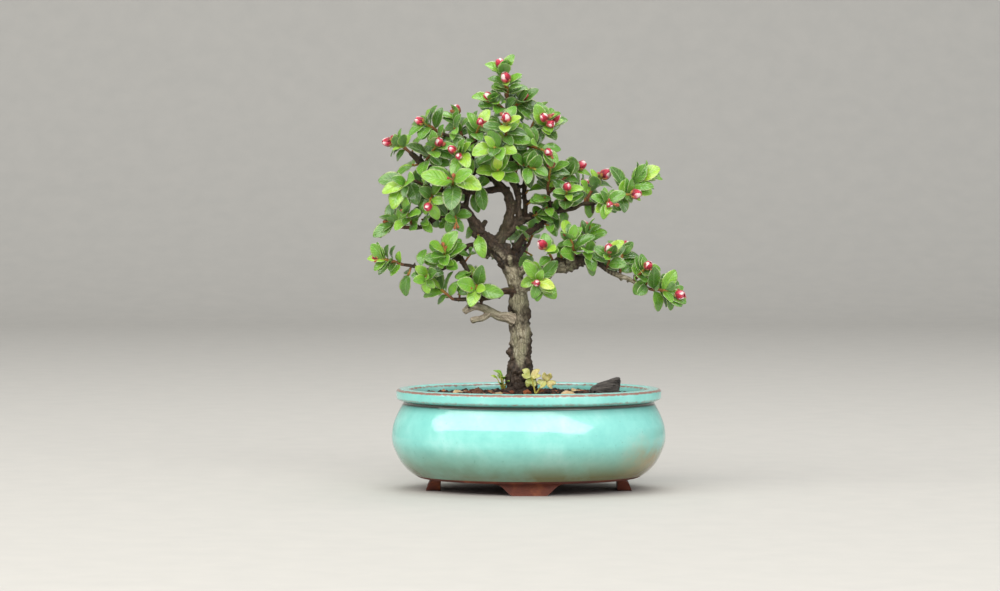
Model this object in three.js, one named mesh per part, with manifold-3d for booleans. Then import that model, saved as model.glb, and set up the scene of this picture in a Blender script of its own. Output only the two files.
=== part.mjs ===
// A small flowering cotoneaster bonsai in an oval glazed pot.
// Millimetres, +Z up. X runs along the pot's long side, -Y is the tree's front.
// The design frame has its origin under the middle of the pot, on the surface that the feet stand on.
import * as THREE from "three";
import { mergeVertices } from "three/addons/utils/BufferGeometryUtils.js";
import Module from "manifold-3d";

const wasm = await Module();
wasm.setup();

// ---------------------------------------------------------------- driving dimensions

const GAP = 0.3; // clearance between pieces that touch

const POT = {
  length: 125, // over the belly, along X
  width: 98, // over the belly, along Y
  footHeight: 5.2, // underside of the bowl above the table
  footDepth: 8, // of a foot, from the bowl's edge inwards
  footTop: 32, // width of a foot where it leaves the bowl
  footBottom: 14.5, // width of a foot where it stands
  baseInset: 14.3, // from the belly in to the edge of the base
  rimInset: 2.1, // from the belly in to the outside of the lip
  neckInset: 5.2, // from the belly in to the crease under the lip
  bellyHeight: 23.5, // widest level
  neckHeight: 39.6, // level of the crease under the lip
  lipHeight: 5.9, // from the crease up to the lip's outer edge
  lipWidth: 6.4, // across the top of the lip
  lipCrown: 0.9, // how far the lip's top bulges above its two edges
  wall: 5.2, // of the bowl
  floor: 4.6, // thickness of the bottom
  segments: 36,
};

const DRAIN = {
  holeRadius: 6,
  spacing: 44, // between the two holes
  screen: 19, // side of the plastic mesh square over a hole
  screenThickness: 0.9,
  screenCells: 3, // openings along one side of a mesh square
  screenBar: 1.7, // width of the bars between them
  wireRadius: 0.6,
  wireLegs: 9.3, // between the two legs of a wire staple
  wireBend: 5.5, // length of the legs folded flat under the bowl
};

const SOIL = {
  edgeDrop: 3.6, // surface below the lip's edge, at the wall
  moundRise: 2.4, // higher at the trunk than at the wall
  moundReach: 34, // how far the mound spreads from the trunk
  grain: 0.5, // height of the bumps
  rings: 4,
  segments: 24,
};

const LEAF = {
  widthShare: 0.52, // width over length
  thickness: 0.5,
  fold: 0.1, // rise of the edges above the midrib, over the width
  camber: 0.07, // bow of the midrib, over the length
  stalk: 0.4, // thickness of the stalk
};

const TWIG = { baseRadius: 0.65, tipRadius: 0.42, sides: 4, steps: 2 };
const BUD_RADIUS = 2.3;
const BUD_LENGTH = 1.15; // length over width

// ---------------------------------------------------------------- the tree's shape

// Every limb is a line of points [x, y, z, radius], from where it starts inside its parent.
const LIMBS = {
  trunk: [[-2.5, 0, 37, 7.2], [-3, 0, 46, 6.8], [-4, 0, 52, 5.7], [-3.8, 0, 60, 5], [-3.8, 0, 69, 4.8],
    [-4.3, 0, 78, 4.5], [-4.6, 0, 86, 4.3], [-5.4, 0, 93, 4], [-7.2, 0, 99, 3.8], [-10, 0.5, 104.5, 4.1],
    [-13, 1, 109, 4.2], [-16, 1, 112.5, 3.6], [-17.5, 1, 115, 2.4]],
  root_left: [[-3, 0, 45, 3.8], [-9, -2, 43.5, 2.8], [-14, -4, 39, 1.8], [-18, -5, 34, 1]],
  root_right: [[-3, 0, 45, 3.8], [3, -2, 43.5, 2.7], [8, -4, 39, 1.8], [12, -6, 33, 1]],
  root_front: [[-3, 0, 44, 3.6], [-4, -7, 42.5, 2.5], [-5, -11, 38, 1.6], [-6, -14, 33, 0.9]],
  root_back: [[-3, 0, 44, 3.6], [-1, 7, 42.5, 2.6], [1, 11, 38, 1.7], [2, 15, 33, 0.9]],
  leader_left: [[-14, 1, 111, 3.4], [-11, 0.5, 117.5, 3.2], [-8.6, 0, 124, 2.8], [-8.4, 0, 129, 2.5],
    [-9.5, 0, 134, 2.3], [-13, 0.5, 138.5, 2], [-16, 1, 142, 1.6], [-17.5, 2, 148, 1.2]],
  leader_right: [[-11, 0.5, 116, 2.8], [-5.8, 1, 121, 2.4], [-4.7, 1.5, 128, 2.1], [-5.2, 2, 134, 1.9],
    [-7, 2, 139.5, 1.8], [-9, 2, 144, 1.5], [-9, 1.5, 152, 1.4], [-9.5, 1, 161, 1.2],
    [-9.5, 0.5, 170, 1], [-10, 0, 178, 0.8]],
  leader_rear: [[-7, 1, 119, 1.9], [-2.5, 4, 124, 1.6], [-1.6, 6, 131, 1.4], [-1.8, 8, 138, 1.3],
    [-1, 9, 146, 1.1], [2, 10, 153, 0.8]],
  left_main: [[-15, 1, 111.5, 3.4], [-20, 0.5, 115, 2.8], [-23.5, 0, 118.5, 2.5], [-26, 0, 123, 2.3],
    [-28.5, -1, 127.5, 2.1], [-31, -1.5, 130, 1.6]],
  left_reach: [[-29, -1, 127.5, 1.8], [-35, -2, 126.5, 1.7], [-42, -3, 124.5, 1.5], [-46, -3.5, 121.5, 1.2],
    [-50, -4, 119.5, 1], [-57, -5, 119.7, 0.8]],
  left_upright: [[-29, -1, 128, 1.5], [-28, -1, 134, 1.2], [-26.8, -1.5, 142, 1.1], [-26, -2, 149, 1],
    [-24.5, -2, 155, 0.9], [-24, -2.5, 161, 0.8]],
  left_cross: [[-12, 0.5, 137.5, 1.8], [-17, -1, 136.3, 1.5], [-23, -3, 136, 1.3], [-31, -4, 135.8, 1.2],
    [-40, -4.5, 136.5, 1], [-46, -5, 138, 0.8], [-52, -5.5, 141, 0.7]],
  left_stub: [[-30, -1.5, 129, 1.3], [-36, -1.5, 133, 1.1], [-40.5, 0, 137.5, 1], [-44.5, 1.5, 142, 1.2],
    [-48, 2, 147, 1.9], [-50.5, 2, 150.5, 1.7], [-54, 1.5, 153.5, 0.9]],
  crown_left: [[-17, 2, 146.5, 1.2], [-21, 0, 153, 1.1], [-28, -2, 158.5, 0.9], [-35, -3, 160.5, 0.8],
    [-41, -3, 163, 0.7]],
  crown_front: [[-8.5, 1.5, 147, 1.2], [-9, -5, 152, 1], [-10.5, -9, 158, 0.8]],
  crown_right: [[-9, 1.5, 151, 1.2], [-3, -0.5, 156.5, 1], [2, -2, 159, 0.8], [6, -3, 161.5, 0.7]],
  crown_back: [[-5, 2, 134, 1.4], [-6, 10, 142, 1.2], [-8, 18, 150, 1], [-11, 23, 155, 0.8]],
  crown_back_left: [[-13, 0.5, 138.5, 1.3], [-22, 8, 144, 1.2], [-30, 14, 149, 1], [-36, 18, 152, 0.8]],
  left_back: [[-28, -1, 127, 1.4], [-34, 8, 129, 1.2], [-41, 15, 131, 1], [-46, 19, 133, 0.7]],
  right_back: [[-4, 1, 122, 1.6], [4, 9, 126, 1.3], [12, 17, 130, 1], [19, 22, 133, 0.8]],
  back_low: [[-8, 1, 101, 2], [-6, 10, 105, 1.6], [-3, 19, 108, 1.2], [0, 27, 111, 0.8]],
  low_left: [[-16, 0.5, 112.5, 2.2], [-21, -1, 111.8, 1.5], [-26, -2, 111.3, 1.3], [-30, -3, 110, 1.3],
    [-31.5, -3.5, 107, 1.3], [-29.5, -4.5, 103, 1.2], [-27, -5, 99, 1.1], [-24.5, -5, 95.5, 0.9]],
  low_left_arm: [[-31, -3, 108, 1.3], [-33.5, -4, 105, 1.2], [-38.5, -5, 101.2, 1.1], [-46, -6, 100.3, 0.9],
    [-52, -6.5, 102, 0.8], [-57, -7, 102.8, 0.7]],
  low_spur: [[-6, -1, 91, 2], [-12.5, -4.5, 90, 1.6], [-18.5, -7, 87.8, 1.4], [-24, -8, 87.6, 1.2],
    [-30, -8, 87, 0.9], [-34, -8, 87.2, 0.8]],
  snag: [[-5, -1, 77.5, 2.9], [-10, -2.5, 78.3, 2.4], [-13, -3, 79.3, 2], [-17.5, -4, 81.5, 1.9],
    [-22, -5, 83.3, 1.9], [-26, -6, 83.6, 1.8], [-29.3, -6.5, 81.3, 1.5]],
  snag_stub: [[-17, -3.8, 81, 1.6], [-21.5, -6, 78.6, 1.4], [-26, -7.5, 77.5, 1.4]],
  low_right: [[-4.5, -1, 92, 3], [1, -3, 94.5, 2.7], [7, -5, 99.5, 2.8], [13, -6, 102.3, 3.1],
    [20, -7, 104, 3.1], [26.5, -7.5, 105.3, 2.5], [29.5, -7.5, 104.5, 1.6], [33, -8, 102, 1.3],
    [38, -8.5, 99, 1.2], [43.5, -9, 97, 1], [49, -9.5, 94.5, 0.9], [54.5, -10, 92, 0.7]],
  mid_right: [[-10, 2, 106, 2.2], [-4, 4, 112.5, 1.6], [0.6, 3.5, 117.6, 1.4], [6, 3, 121, 1.3],
    [10.5, 2, 125, 1.2], [14, 1.5, 127, 1.1], [20, 1, 128, 1.1], [23.3, 0.5, 130, 1], [29, 0, 130.3, 0.9],
    [34, -0.5, 131, 0.8], [38, -1, 133.5, 0.7]],
  mid_right_spur: [[10.5, 2, 125, 0.9], [9.7, 1.5, 131, 0.8], [8.7, 1, 136, 0.7]],
};

// Every leafy shoot: the limb it leaves and how far along it (0 to 1), where its tip is, how many leaves,
// how long they are, how many flower buds, and its own number for the small irregularities.
const SHOOTS = {
  apex: ["leader_right", 1, [-12, -1, 192], 8, 11, 1],
  apex_front: ["leader_right", 0.97, [-10, -6, 186], 5, 10, 1],
  apex_left: ["leader_right", 0.9, [-17, -3, 177.5], 5, 10.5, 1],
  apex_right: ["leader_right", 0.9, [-2.5, -1, 177.5], 5, 11, 1],
  apex_back: ["leader_right", 0.88, [-7, 10, 177], 5, 11, 0],
  crown_bud_left: ["crown_left", 0.62, [-33, 4, 171.5], 5, 11.5, 1],
  crown_bud_mid: ["crown_front", 1, [-10, -18, 168], 5, 12, 1],
  crown_bud_far: ["crown_left", 1, [-48, -6, 167], 6, 11.5, 1],
  crown_bud_inner: ["crown_left", 0.45, [-22, -13, 166.5], 5, 12.5, 1],
  crown_trio: ["crown_right", 1, [8.5, -9, 167], 8, 11.5, 3],
  crown_trio_back: ["crown_right", 0.55, [3, 9, 169], 5, 12, 0],
  stub_tip: ["left_stub", 1, [-60, 3, 158], 6, 9, 2],
  stub_side: ["left_stub", 0.75, [-41, -9, 157.5], 5, 12, 1],
  upright_pair: ["left_upright", 0.72, [-32, -13, 153], 5, 12.5, 2],
  upright_back: ["left_upright", 1, [-27, 10, 166], 6, 12, 0],
  right_shoulder: ["crown_right", 0.45, [8, -14, 154], 5, 13, 1],
  star: ["leader_right", 0.55, [3, -17, 146], 6, 11, 0],
  front_bright: ["leader_left", 0.8, [-14, -16, 146], 5, 12, 0],
  front_low_crown: ["crown_front", 0.5, [-16, -20, 156], 5, 12.5, 0],
  spur_top: ["mid_right_spur", 1, [10, -5, 147], 5, 11, 1],
  right_high: ["mid_right_spur", 0.9, [22.5, 5, 146.5], 5, 11, 1],
  right_mid_bud: ["mid_right", 0.6, [17.5, -9, 137], 5, 10, 1],
  right_upper_bud: ["mid_right", 0.76, [32, 5, 141], 5, 11, 2],
  right_under_bud: ["mid_right", 0.92, [36.5, -10, 130.5], 5, 10, 1],
  right_bud_tip: ["mid_right", 1, [47, -4, 134.5], 5, 11, 1],
  right_long: ["mid_right", 0.97, [54, 2, 143], 6, 13, 0],
  big_leaves: ["left_cross", 0.55, [-34, -19, 141.5], 3, 17, 0],
  left_high: ["left_cross", 1, [-56, -10, 139], 5, 14, 0],
  left_inner: ["left_cross", 0.75, [-45, -15, 130], 4, 11, 1],
  reach_tip: ["left_reach", 1, [-63, -3, 122.5], 5, 11, 1],
  reach_top: ["left_reach", 0.85, [-55, -12, 127], 5, 10.5, 0],
  reach_hang: ["left_reach", 0.15, [-33, -12, 123], 3, 10, 0],
  low_left_tip: ["low_left_arm", 1, [-68, -8, 105.5], 6, 9.5, 1],
  low_left_top: ["low_left_arm", 0.3, [-38, -13, 109], 5, 13.5, 0],
  low_left_under: ["low_left_arm", 0.6, [-46.5, -11, 96], 5, 11, 0],
  low_left_hang: ["low_left", 1, [-24, -12, 92], 5, 12.5, 0],
  low_spur_tip: ["low_spur", 1, [-40, -6, 91.5], 5, 11, 0],
  trunk_front: ["low_right", 0.16, [4, -15, 95], 6, 11.5, 1],
  low_right_inner: ["low_right", 0.3, [7, -17, 111], 5, 12, 1],
  low_right_top: ["low_right", 0.45, [18, -12, 116], 5, 11.5, 0],
  low_right_bud: ["low_right", 0.52, [26, -3, 118.5], 6, 11, 1],
  low_right_outer: ["low_right", 0.68, [36.5, -15, 109], 5, 10.5, 1],
  low_right_disc: ["low_right", 0.78, [43, -3, 109.5], 5, 10.5, 1],
  low_right_bud_top: ["low_right", 0.88, [53, -13, 101.5], 5, 10, 1],
  low_right_tip: ["low_right", 1, [65.5, -11, 90], 6, 11.5, 2],
  back_crown: ["crown_back", 1, [-14, 27, 162], 6, 12, 1],
  back_left: ["crown_back_left", 1, [-41, 20, 157], 6, 12, 1],
  back_side: ["left_back", 1, [-52, 22, 137], 6, 12, 1],
  back_right: ["right_back", 1, [25, 25, 138], 6, 12, 1],
  back_low: ["back_low", 1, [3, 32, 117], 6, 12, 1],
};

// ---------------------------------------------------------------- solids

const toSolid = (geometry) => {
  const bare = geometry.clone();
  bare.deleteAttribute("normal");
  bare.deleteAttribute("uv");
  const merged = mergeVertices(bare, 1e-4);
  return new wasm.Manifold(new wasm.Mesh({
    numProp: 3,
    vertProperties: new Float32Array(merged.attributes.position.array),
    triVerts: new Uint32Array(merged.index.array),
  }));
};

const toGeometry = (solid) => {
  const mesh = solid.getMesh();
  const geometry = new THREE.BufferGeometry();
  geometry.setAttribute("position", new THREE.BufferAttribute(new Float32Array(mesh.vertProperties), 3));
  geometry.setIndex(new THREE.BufferAttribute(new Uint32Array(mesh.triVerts), 1));
  geometry.computeVertexNormals();
  return geometry;
};

const joined = (solids) => wasm.Manifold.union(solids);

// What is left of a piece after a cut is its largest part.
const largest = (solid) =>
  solid.decompose().reduce((best, part) => (part.volume() > best.volume() ? part : best));

const meshFrom = (points, faces) => {
  const geometry = new THREE.BufferGeometry();
  geometry.setAttribute("position", new THREE.Float32BufferAttribute(points.flat(), 3));
  geometry.setIndex(faces.flat());
  return geometry;
};

// A closed skin over rings of equal length, with a fan to a point at each end.
const loft = (rings, first, last) => {
  const n = rings[0].length;
  const points = [...rings.flat(), first, last];
  const faces = [];
  for (let r = 0; r + 1 < rings.length; r++)
    for (let i = 0; i < n; i++) {
      const a = r * n + i;
      const b = r * n + ((i + 1) % n);
      faces.push([a, b, b + n], [a, b + n, a + n]);
    }
  const end = (rings.length - 1) * n;
  for (let i = 0; i < n; i++) {
    const j = (i + 1) % n;
    faces.push([j, i, points.length - 2], [end + i, end + j, points.length - 1]);
  }
  return meshFrom(points, faces);
};

// One repeatable stream of numbers from 0 to 1 for each seed.
const noiseFrom = (seed) => {
  let state = (seed * 2654435761) >>> 0;
  return () => {
    state = (Math.imul(state, 1664525) + 1013904223) >>> 0;
    return state / 4294967296;
  };
};

// ---------------------------------------------------------------- pot

const halfLength = POT.length / 2;
const halfWidth = POT.width / 2;
const lipEdge = POT.neckHeight + POT.lipHeight;
const innerFloor = POT.footHeight + POT.floor;

// An oval ring at a distance in from the belly, at a height.
const oval = (inset, z, segments = POT.segments) =>
  Array.from({ length: segments }, (_, i) => {
    const a = (i / segments) * 2 * Math.PI;
    return [(halfLength - inset) * Math.cos(a), (halfWidth - inset) * Math.sin(a), z];
  });

// [inset, height] up the outside of the bowl, from the base to the crease under the lip.
const bowlOutside = () => {
  const rise = POT.bellyHeight - POT.footHeight;
  const fall = POT.neckHeight - POT.bellyHeight;
  const lower = [0, 18, 42, 68].map((deg) => {
    const a = THREE.MathUtils.degToRad(deg);
    return [POT.baseInset * (1 - Math.sin(a)) ** 1.1, POT.footHeight + rise * (1 - Math.cos(a)) ** 0.75];
  });
  const upper = [0, 0.3, 0.6, 0.85].map((t) => [
    POT.neckInset * (0.5 - 0.5 * Math.cos(Math.PI * t ** 1.35)), POT.bellyHeight + fall * t]);
  return [...lower, ...upper, [POT.neckInset, POT.neckHeight]];
};

const lip = () => [
  [POT.rimInset, POT.neckHeight + 2],
  [POT.rimInset, lipEdge],
  [POT.rimInset + POT.lipWidth * 0.3, lipEdge + POT.lipCrown * 0.85],
  [POT.rimInset + POT.lipWidth * 0.6, lipEdge + POT.lipCrown],
  [POT.rimInset + POT.lipWidth, lipEdge],
];

const innerLip = POT.rimInset + POT.lipWidth;

// [inset, height] down the inside of the bowl.
const bowlInside = () => [
  [innerLip + 0.3, POT.neckHeight + 1],
  [POT.wall + 1.2, POT.bellyHeight + 9],
  [POT.wall, POT.bellyHeight],
  [POT.wall + 2.6, POT.bellyHeight - 7],
  [POT.baseInset - 1, innerFloor + 2.2],
  [POT.baseInset + 3.5, innerFloor],
];

const footProfile = () => {
  const top = POT.footTop / 2;
  const bottom = POT.footBottom / 2;
  const h = POT.footHeight + 1; // runs up into the bowl
  return new THREE.Shape()
    .moveTo(-top, h)
    .lineTo(-top, POT.footHeight)
    .bezierCurveTo(-top * 0.72, POT.footHeight, -bottom * 1.35, 0, -bottom, 0)
    .lineTo(bottom, 0)
    .bezierCurveTo(bottom * 1.35, 0, top * 0.72, POT.footHeight, top, POT.footHeight)
    .lineTo(top, h);
};

const feet = () => {
  const top = POT.footHeight + 2;
  const baseOval = toSolid(loft([oval(POT.baseInset, -1), oval(POT.baseInset, top)], [0, 0, -1], [0, 0, top]));
  const blank = new THREE.ExtrudeGeometry(footProfile(),
    { depth: POT.footDepth + 2, bevelEnabled: false, curveSegments: 5 }).rotateX(Math.PI / 2);
  const reach = [halfWidth, halfLength, halfWidth, halfLength];
  const made = reach.map((half, i) => toSolid(blank.clone()
    .translate(0, POT.footDepth - (half - POT.baseInset), 0)
    .rotateZ((i * Math.PI) / 2)));
  return joined(made).intersect(baseOval);
};

const drainHoles = [-DRAIN.spacing / 2, DRAIN.spacing / 2];

const makePot = () => {
  const outline = [...bowlOutside(), ...lip(), ...bowlInside()];
  const bowl = toSolid(loft(outline.map(([inset, z]) => oval(inset, z)),
    [0, 0, POT.footHeight], [0, 0, innerFloor]));
  const drill = new THREE.CylinderGeometry(DRAIN.holeRadius, DRAIN.holeRadius, POT.floor * 3, 20)
    .rotateX(Math.PI / 2);
  const holes = drainHoles.map((x) => toSolid(drill.clone().translate(x, 0, POT.footHeight)));
  return bowl.add(feet()).subtract(joined(holes));
};

// ---------------------------------------------------------------- drainage screens

const screenBottom = innerFloor + GAP;

const slab = (sx, sy, sz, x, y, z) => toSolid(new THREE.BoxGeometry(sx, sy, sz).translate(x, y, z));

const makeScreen = (x) => {
  const z = screenBottom + DRAIN.screenThickness / 2;
  const pitch = (DRAIN.screen - DRAIN.screenBar) / DRAIN.screenCells;
  const middle = (i) => (i - (DRAIN.screenCells - 1) / 2) * pitch;
  const cells = [];
  for (let i = 0; i < DRAIN.screenCells; i++)
    for (let j = 0; j < DRAIN.screenCells; j++)
      cells.push(slab(pitch - DRAIN.screenBar, pitch - DRAIN.screenBar, 4, x + middle(i), middle(j), z));
  return slab(DRAIN.screen, DRAIN.screen, DRAIN.screenThickness, x, 0, z).subtract(joined(cells));
};

// ---------------------------------------------------------------- tubes for wood, twigs and wire

// A tapering tube along a line of points [x, y, z, radius], made thicker all over by grow.
const taperedTube = (line, sides, grow = 0) => {
  const centres = line.map((p) => new THREE.Vector3(p[0], p[1], p[2]));
  const tangents = centres.map((_, i) => new THREE.Vector3().subVectors(
    centres[Math.min(i + 1, centres.length - 1)], centres[Math.max(i - 1, 0)]).normalize());
  const side = new THREE.Vector3(0.31, 0.93, 0.17);
  const rings = centres.map((c, i) => {
    side.addScaledVector(tangents[i], -side.dot(tangents[i])).normalize();
    const up = new THREE.Vector3().crossVectors(tangents[i], side);
    return Array.from({ length: sides }, (_, k) => {
      const a = (k / sides) * 2 * Math.PI;
      return c.clone()
        .addScaledVector(side, (line[i][3] + grow) * Math.cos(a))
        .addScaledVector(up, (line[i][3] + grow) * Math.sin(a))
        .toArray();
    });
  });
  const end = (i, sign) => centres.at(i).clone()
    .addScaledVector(tangents.at(i), sign * (0.35 * line.at(i)[3] + grow))
    .toArray();
  return toSolid(loft(rings, end(0, -1), end(-1, 1)));
};

// A wire staple: down through the screen and the hole, then bent outwards under the bowl.
const makeWire = (x) => {
  const r = DRAIN.wireRadius;
  const top = screenBottom + DRAIN.screenThickness + GAP + r;
  const under = POT.footHeight - GAP - r;
  const half = DRAIN.wireLegs / 2;
  const line = [[x, -half - DRAIN.wireBend, under], [x, -half - 0.6, under], [x, -half, under + 0.6],
    [x, -half, top - 0.6], [x, -half + 0.6, top], [x, half - 0.6, top], [x, half, top - 0.6],
    [x, half, under + 0.6], [x, half + 0.6, under], [x, half + DRAIN.wireBend, under]];
  return taperedTube(line.map((p) => [...p, r]), 4);
};

// ---------------------------------------------------------------- wood

// Sides of a limb's tube, fewer for the thin ones.
const sidesFor = (limb) => {
  const thickest = Math.max(...limb.map((p) => p[3]));
  if (thickest > 4) return 10;
  return thickest > 2.4 ? 7 : 5;
};

const makeWood = (grow = 0) => joined(Object.values(LIMBS).map((limb) =>
  taperedTube(limb, sidesFor(limb), grow)));

// Place, radius and direction at a share of the length of a line of points [x, y, z, radius].
const onLine = (line, share) => {
  const points = line.map((p) => new THREE.Vector3(p[0], p[1], p[2]));
  const steps = points.slice(1).map((p, i) => p.distanceTo(points[i]));
  let left = share * steps.reduce((a, b) => a + b, 0);
  let i = 0;
  while (i < steps.length - 1 && left > steps[i]) left -= steps[i++];
  const t = Math.min(1, left / steps[i]);
  return {
    at: points[i].clone().lerp(points[i + 1], t),
    radius: line[i][3] + (line[i + 1][3] - line[i][3]) * t,
    along: points[i + 1].clone().sub(points[i]).normalize(),
  };
};

// ---------------------------------------------------------------- where the leaves go

const GOLDEN = 2.39996; // turn from one leaf to the next, in radians
const CLEAR = 1.3; // room between two blades that needs no further try
const TRIES = 16;

const perpendicular = (v) => {
  const helper = Math.abs(v.z) < 0.9 ? new THREE.Vector3(0, 0, 1) : new THREE.Vector3(0, 1, 0);
  return new THREE.Vector3().crossVectors(v, helper).normalize();
};

// Points [share of the length, share of the half width] that stand for a blade when room is looked for.
const FEELERS = [[0.3, 0], [0.6, 0], [0.85, 0], [1, 0], [0.48, 1], [0.48, -1], [0.8, 0.7], [0.8, -0.7]];

// How far a blade is lifted off its own plane by its bow and its fold.
const bladeLift = (leaf, u, w) =>
  leaf.length * (LEAF.camber * Math.sin(Math.PI * u) + LEAF.fold * LEAF.widthShare * Math.abs(w));

const onBlade = (leaf, u, w) => leaf.base.clone()
  .addScaledVector(leaf.way, leaf.length * u)
  .addScaledVector(leaf.side, leaf.length * LEAF.widthShare * 0.5 * w)
  .addScaledVector(leaf.face, bladeLift(leaf, u, w));

// Room that the feelers of one leaf have over or under another blade; below zero where they go through it.
const roomOver = (points, leaf) => {
  const heights = [];
  for (const p of points) {
    const d = p.clone().sub(leaf.base);
    const u = d.dot(leaf.way) / leaf.length;
    const w = d.dot(leaf.side) / (leaf.length * LEAF.widthShare * 0.5);
    if (u > 0.05 && u < 1.1 && Math.abs(w) < 1.25) heights.push(d.dot(leaf.face) - bladeLift(leaf, u, w));
  }
  if (!heights.length) return CLEAR;
  const through = Math.min(...heights) < 0 && Math.max(...heights) > 0;
  return through ? -1 : Math.min(CLEAR, ...heights.map(Math.abs));
};

const limbFeelers = Object.values(LIMBS).flatMap((limb) =>
  Array.from({ length: 16 }, (_, i) => onLine(limb, i / 15)));

// Least room of a leaf beside the leaves and buds that are there already and beside the wood.
const roomFor = (leaf, taken) => {
  let room = CLEAR;
  for (const other of taken.leaves) {
    if (other.middle.distanceTo(leaf.middle) > 14) continue;
    room = Math.min(room, roomOver(leaf.points, other), roomOver(other.points, leaf));
  }
  for (const p of leaf.points) {
    for (const limb of limbFeelers) room = Math.min(room, p.distanceTo(limb.at) - limb.radius - 0.4);
    for (const bud of taken.buds) room = Math.min(room, p.distanceTo(bud.centre) - bud.radius);
  }
  return room;
};

// A leaf: where it starts, which way it points, and the way its upper side looks.
const leafAt = (base, way, lookingTo, length) => {
  const face = lookingTo.clone().addScaledVector(way, -lookingTo.dot(way)).normalize();
  const leaf = { base, way, face, side: new THREE.Vector3().crossVectors(way, face), length };
  leaf.middle = onBlade(leaf, 0.55, 0);
  leaf.points = FEELERS.map(([u, w]) => onBlade(leaf, u, w));
  return leaf;
};

const placeLeaf = (line, share, turn, spread, length) => {
  const { at: base, along } = onLine(line, share);
  const side = perpendicular(along);
  const up = new THREE.Vector3().crossVectors(side, along);
  const out = side.clone().multiplyScalar(Math.cos(turn)).addScaledVector(up, Math.sin(turn));
  const way = along.clone().multiplyScalar(Math.cos(spread)).addScaledVector(out, Math.sin(spread));
  way.z += 0.12;
  way.normalize();
  const face = along.clone().multiplyScalar(Math.sin(spread)).addScaledVector(out, -Math.cos(spread));
  face.multiplyScalar(0.55).add(new THREE.Vector3(0, -0.28, 0.62));
  return leafAt(base, way, face, length);
};

const layShoot = (row, seed, taken) => {
  const [limbName, share, tip, leafCount, leafLength, budCount] = row;
  const noise = noiseFrom(seed);
  const root = onLine(LIMBS[limbName], share);
  const end = new THREE.Vector3(...tip);
  const way = end.clone().sub(root.at).normalize();
  const start = share === 1
    ? root.at.clone().addScaledVector(root.along, 0.35 * root.radius + GAP)
    : root.at.clone().addScaledVector(way, root.radius * 0.6);
  const bow = perpendicular(way).multiplyScalar((noise() - 0.5) * 2);
  bow.z += start.distanceTo(end) * 0.08;
  const middle = start.clone().lerp(end, 0.5).add(bow);
  const line = new THREE.QuadraticBezierCurve3(start, middle, end).getPoints(TWIG.steps).map((p, i) =>
    [...p.toArray(), TWIG.baseRadius + ((TWIG.tipRadius - TWIG.baseRadius) * i) / TWIG.steps]);
  const buds = Array.from({ length: budCount }, (_, i) => {
    const turn = (i / budCount) * 2 * Math.PI + noise();
    const { along } = onLine(line, 1);
    const side = perpendicular(along);
    const up = new THREE.Vector3().crossVectors(side, along);
    const lean = budCount > 1 ? 0.85 : 0.25;
    const way = along.clone()
      .addScaledVector(side, lean * Math.cos(turn))
      .addScaledVector(up, lean * Math.sin(turn))
      .normalize();
    const radius = BUD_RADIUS * (0.85 + 0.25 * noise());
    const centre = end.clone().addScaledVector(way, radius * (budCount > 1 ? 1.9 : 0.85));
    return { way, radius, centre, from: end };
  });
  taken.buds.push(...buds);
  const leaves = [];
  const firstTurn = noise() * 2 * Math.PI;
  for (let i = 0; i < leafCount; i++) {
    const u = (i + 0.5) / leafCount;
    const share = 0.3 + (budCount ? 0.58 : 0.68) * u ** 0.8;
    const length = leafLength * (0.72 + 0.36 * noise()) * (1 - 0.25 * u ** 3);
    const spread = 1.35 - 0.75 * u + 0.3 * (noise() - 0.5);
    let best = null;
    for (let k = 0; k < TRIES; k++) {
      const turn = firstTurn + GOLDEN * i + (k % 2 ? 0.4 : -0.4) * Math.ceil(k / 2);
      const leaf = placeLeaf(line, share, turn, spread + [0, 0.3, -0.3][k % 3], length);
      const room = roomFor(leaf, taken);
      if (!best || room > best.room + 1e-6) best = Object.assign(leaf, { room });
      if (room >= CLEAR) break;
    }
    leaves.push(best);
    taken.leaves.push(best);
  }
  return { line, leaves, buds };
};

const layTree = () => {
  const taken = { leaves: [], buds: [] };
  return Object.fromEntries(Object.entries(SHOOTS).map(([name, row], i) =>
    [name, layShoot(row, i + 1, taken)]));
};

// ---------------------------------------------------------------- leaves, buds and shoots

const makeLeaf = (leaf, grow = 0) => {
  const big = { ...leaf, length: leaf.length + grow };
  const wide = 1 + (2 * grow) / (leaf.length * LEAF.widthShare);
  const stalk = LEAF.stalk / 2 + grow;
  const thick = LEAF.thickness / 2 + grow;
  const points = [
    leaf.base.clone().addScaledVector(leaf.side, stalk),
    onBlade(big, 0.48, wide),
    onBlade(big, 0.8, 0.72 * wide),
    onBlade(big, 1, 0),
    onBlade(big, 0.8, -0.72 * wide),
    onBlade(big, 0.48, -wide),
    leaf.base.clone().addScaledVector(leaf.side, -stalk),
    leaf.base.clone().addScaledVector(leaf.face, stalk),
    onBlade(big, 0.6, 0).addScaledVector(leaf.face, thick),
    onBlade(big, 0.6, 0).addScaledVector(leaf.face, -thick),
  ];
  const upper = [0, 1, 2, 3, 4, 5].map((i) => [i, i + 1, 8]);
  const lower = [0, 1, 2, 3, 4, 5].map((i) => [i + 1, i, 9]);
  const butt = [[0, 8, 7], [7, 8, 6], [0, 7, 6], [0, 6, 9]];
  return toSolid(meshFrom(points.map((p) => p.toArray()), [...upper, ...lower, ...butt]));
};

const makeBud = (bud, grow = 0) => {
  const r = bud.radius + grow;
  const ball = new THREE.IcosahedronGeometry(1, 0).scale(r, r, r * BUD_LENGTH);
  ball.applyQuaternion(new THREE.Quaternion().setFromUnitVectors(new THREE.Vector3(0, 0, 1), bud.way));
  return toSolid(ball.translate(...bud.centre.toArray()));
};

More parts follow.
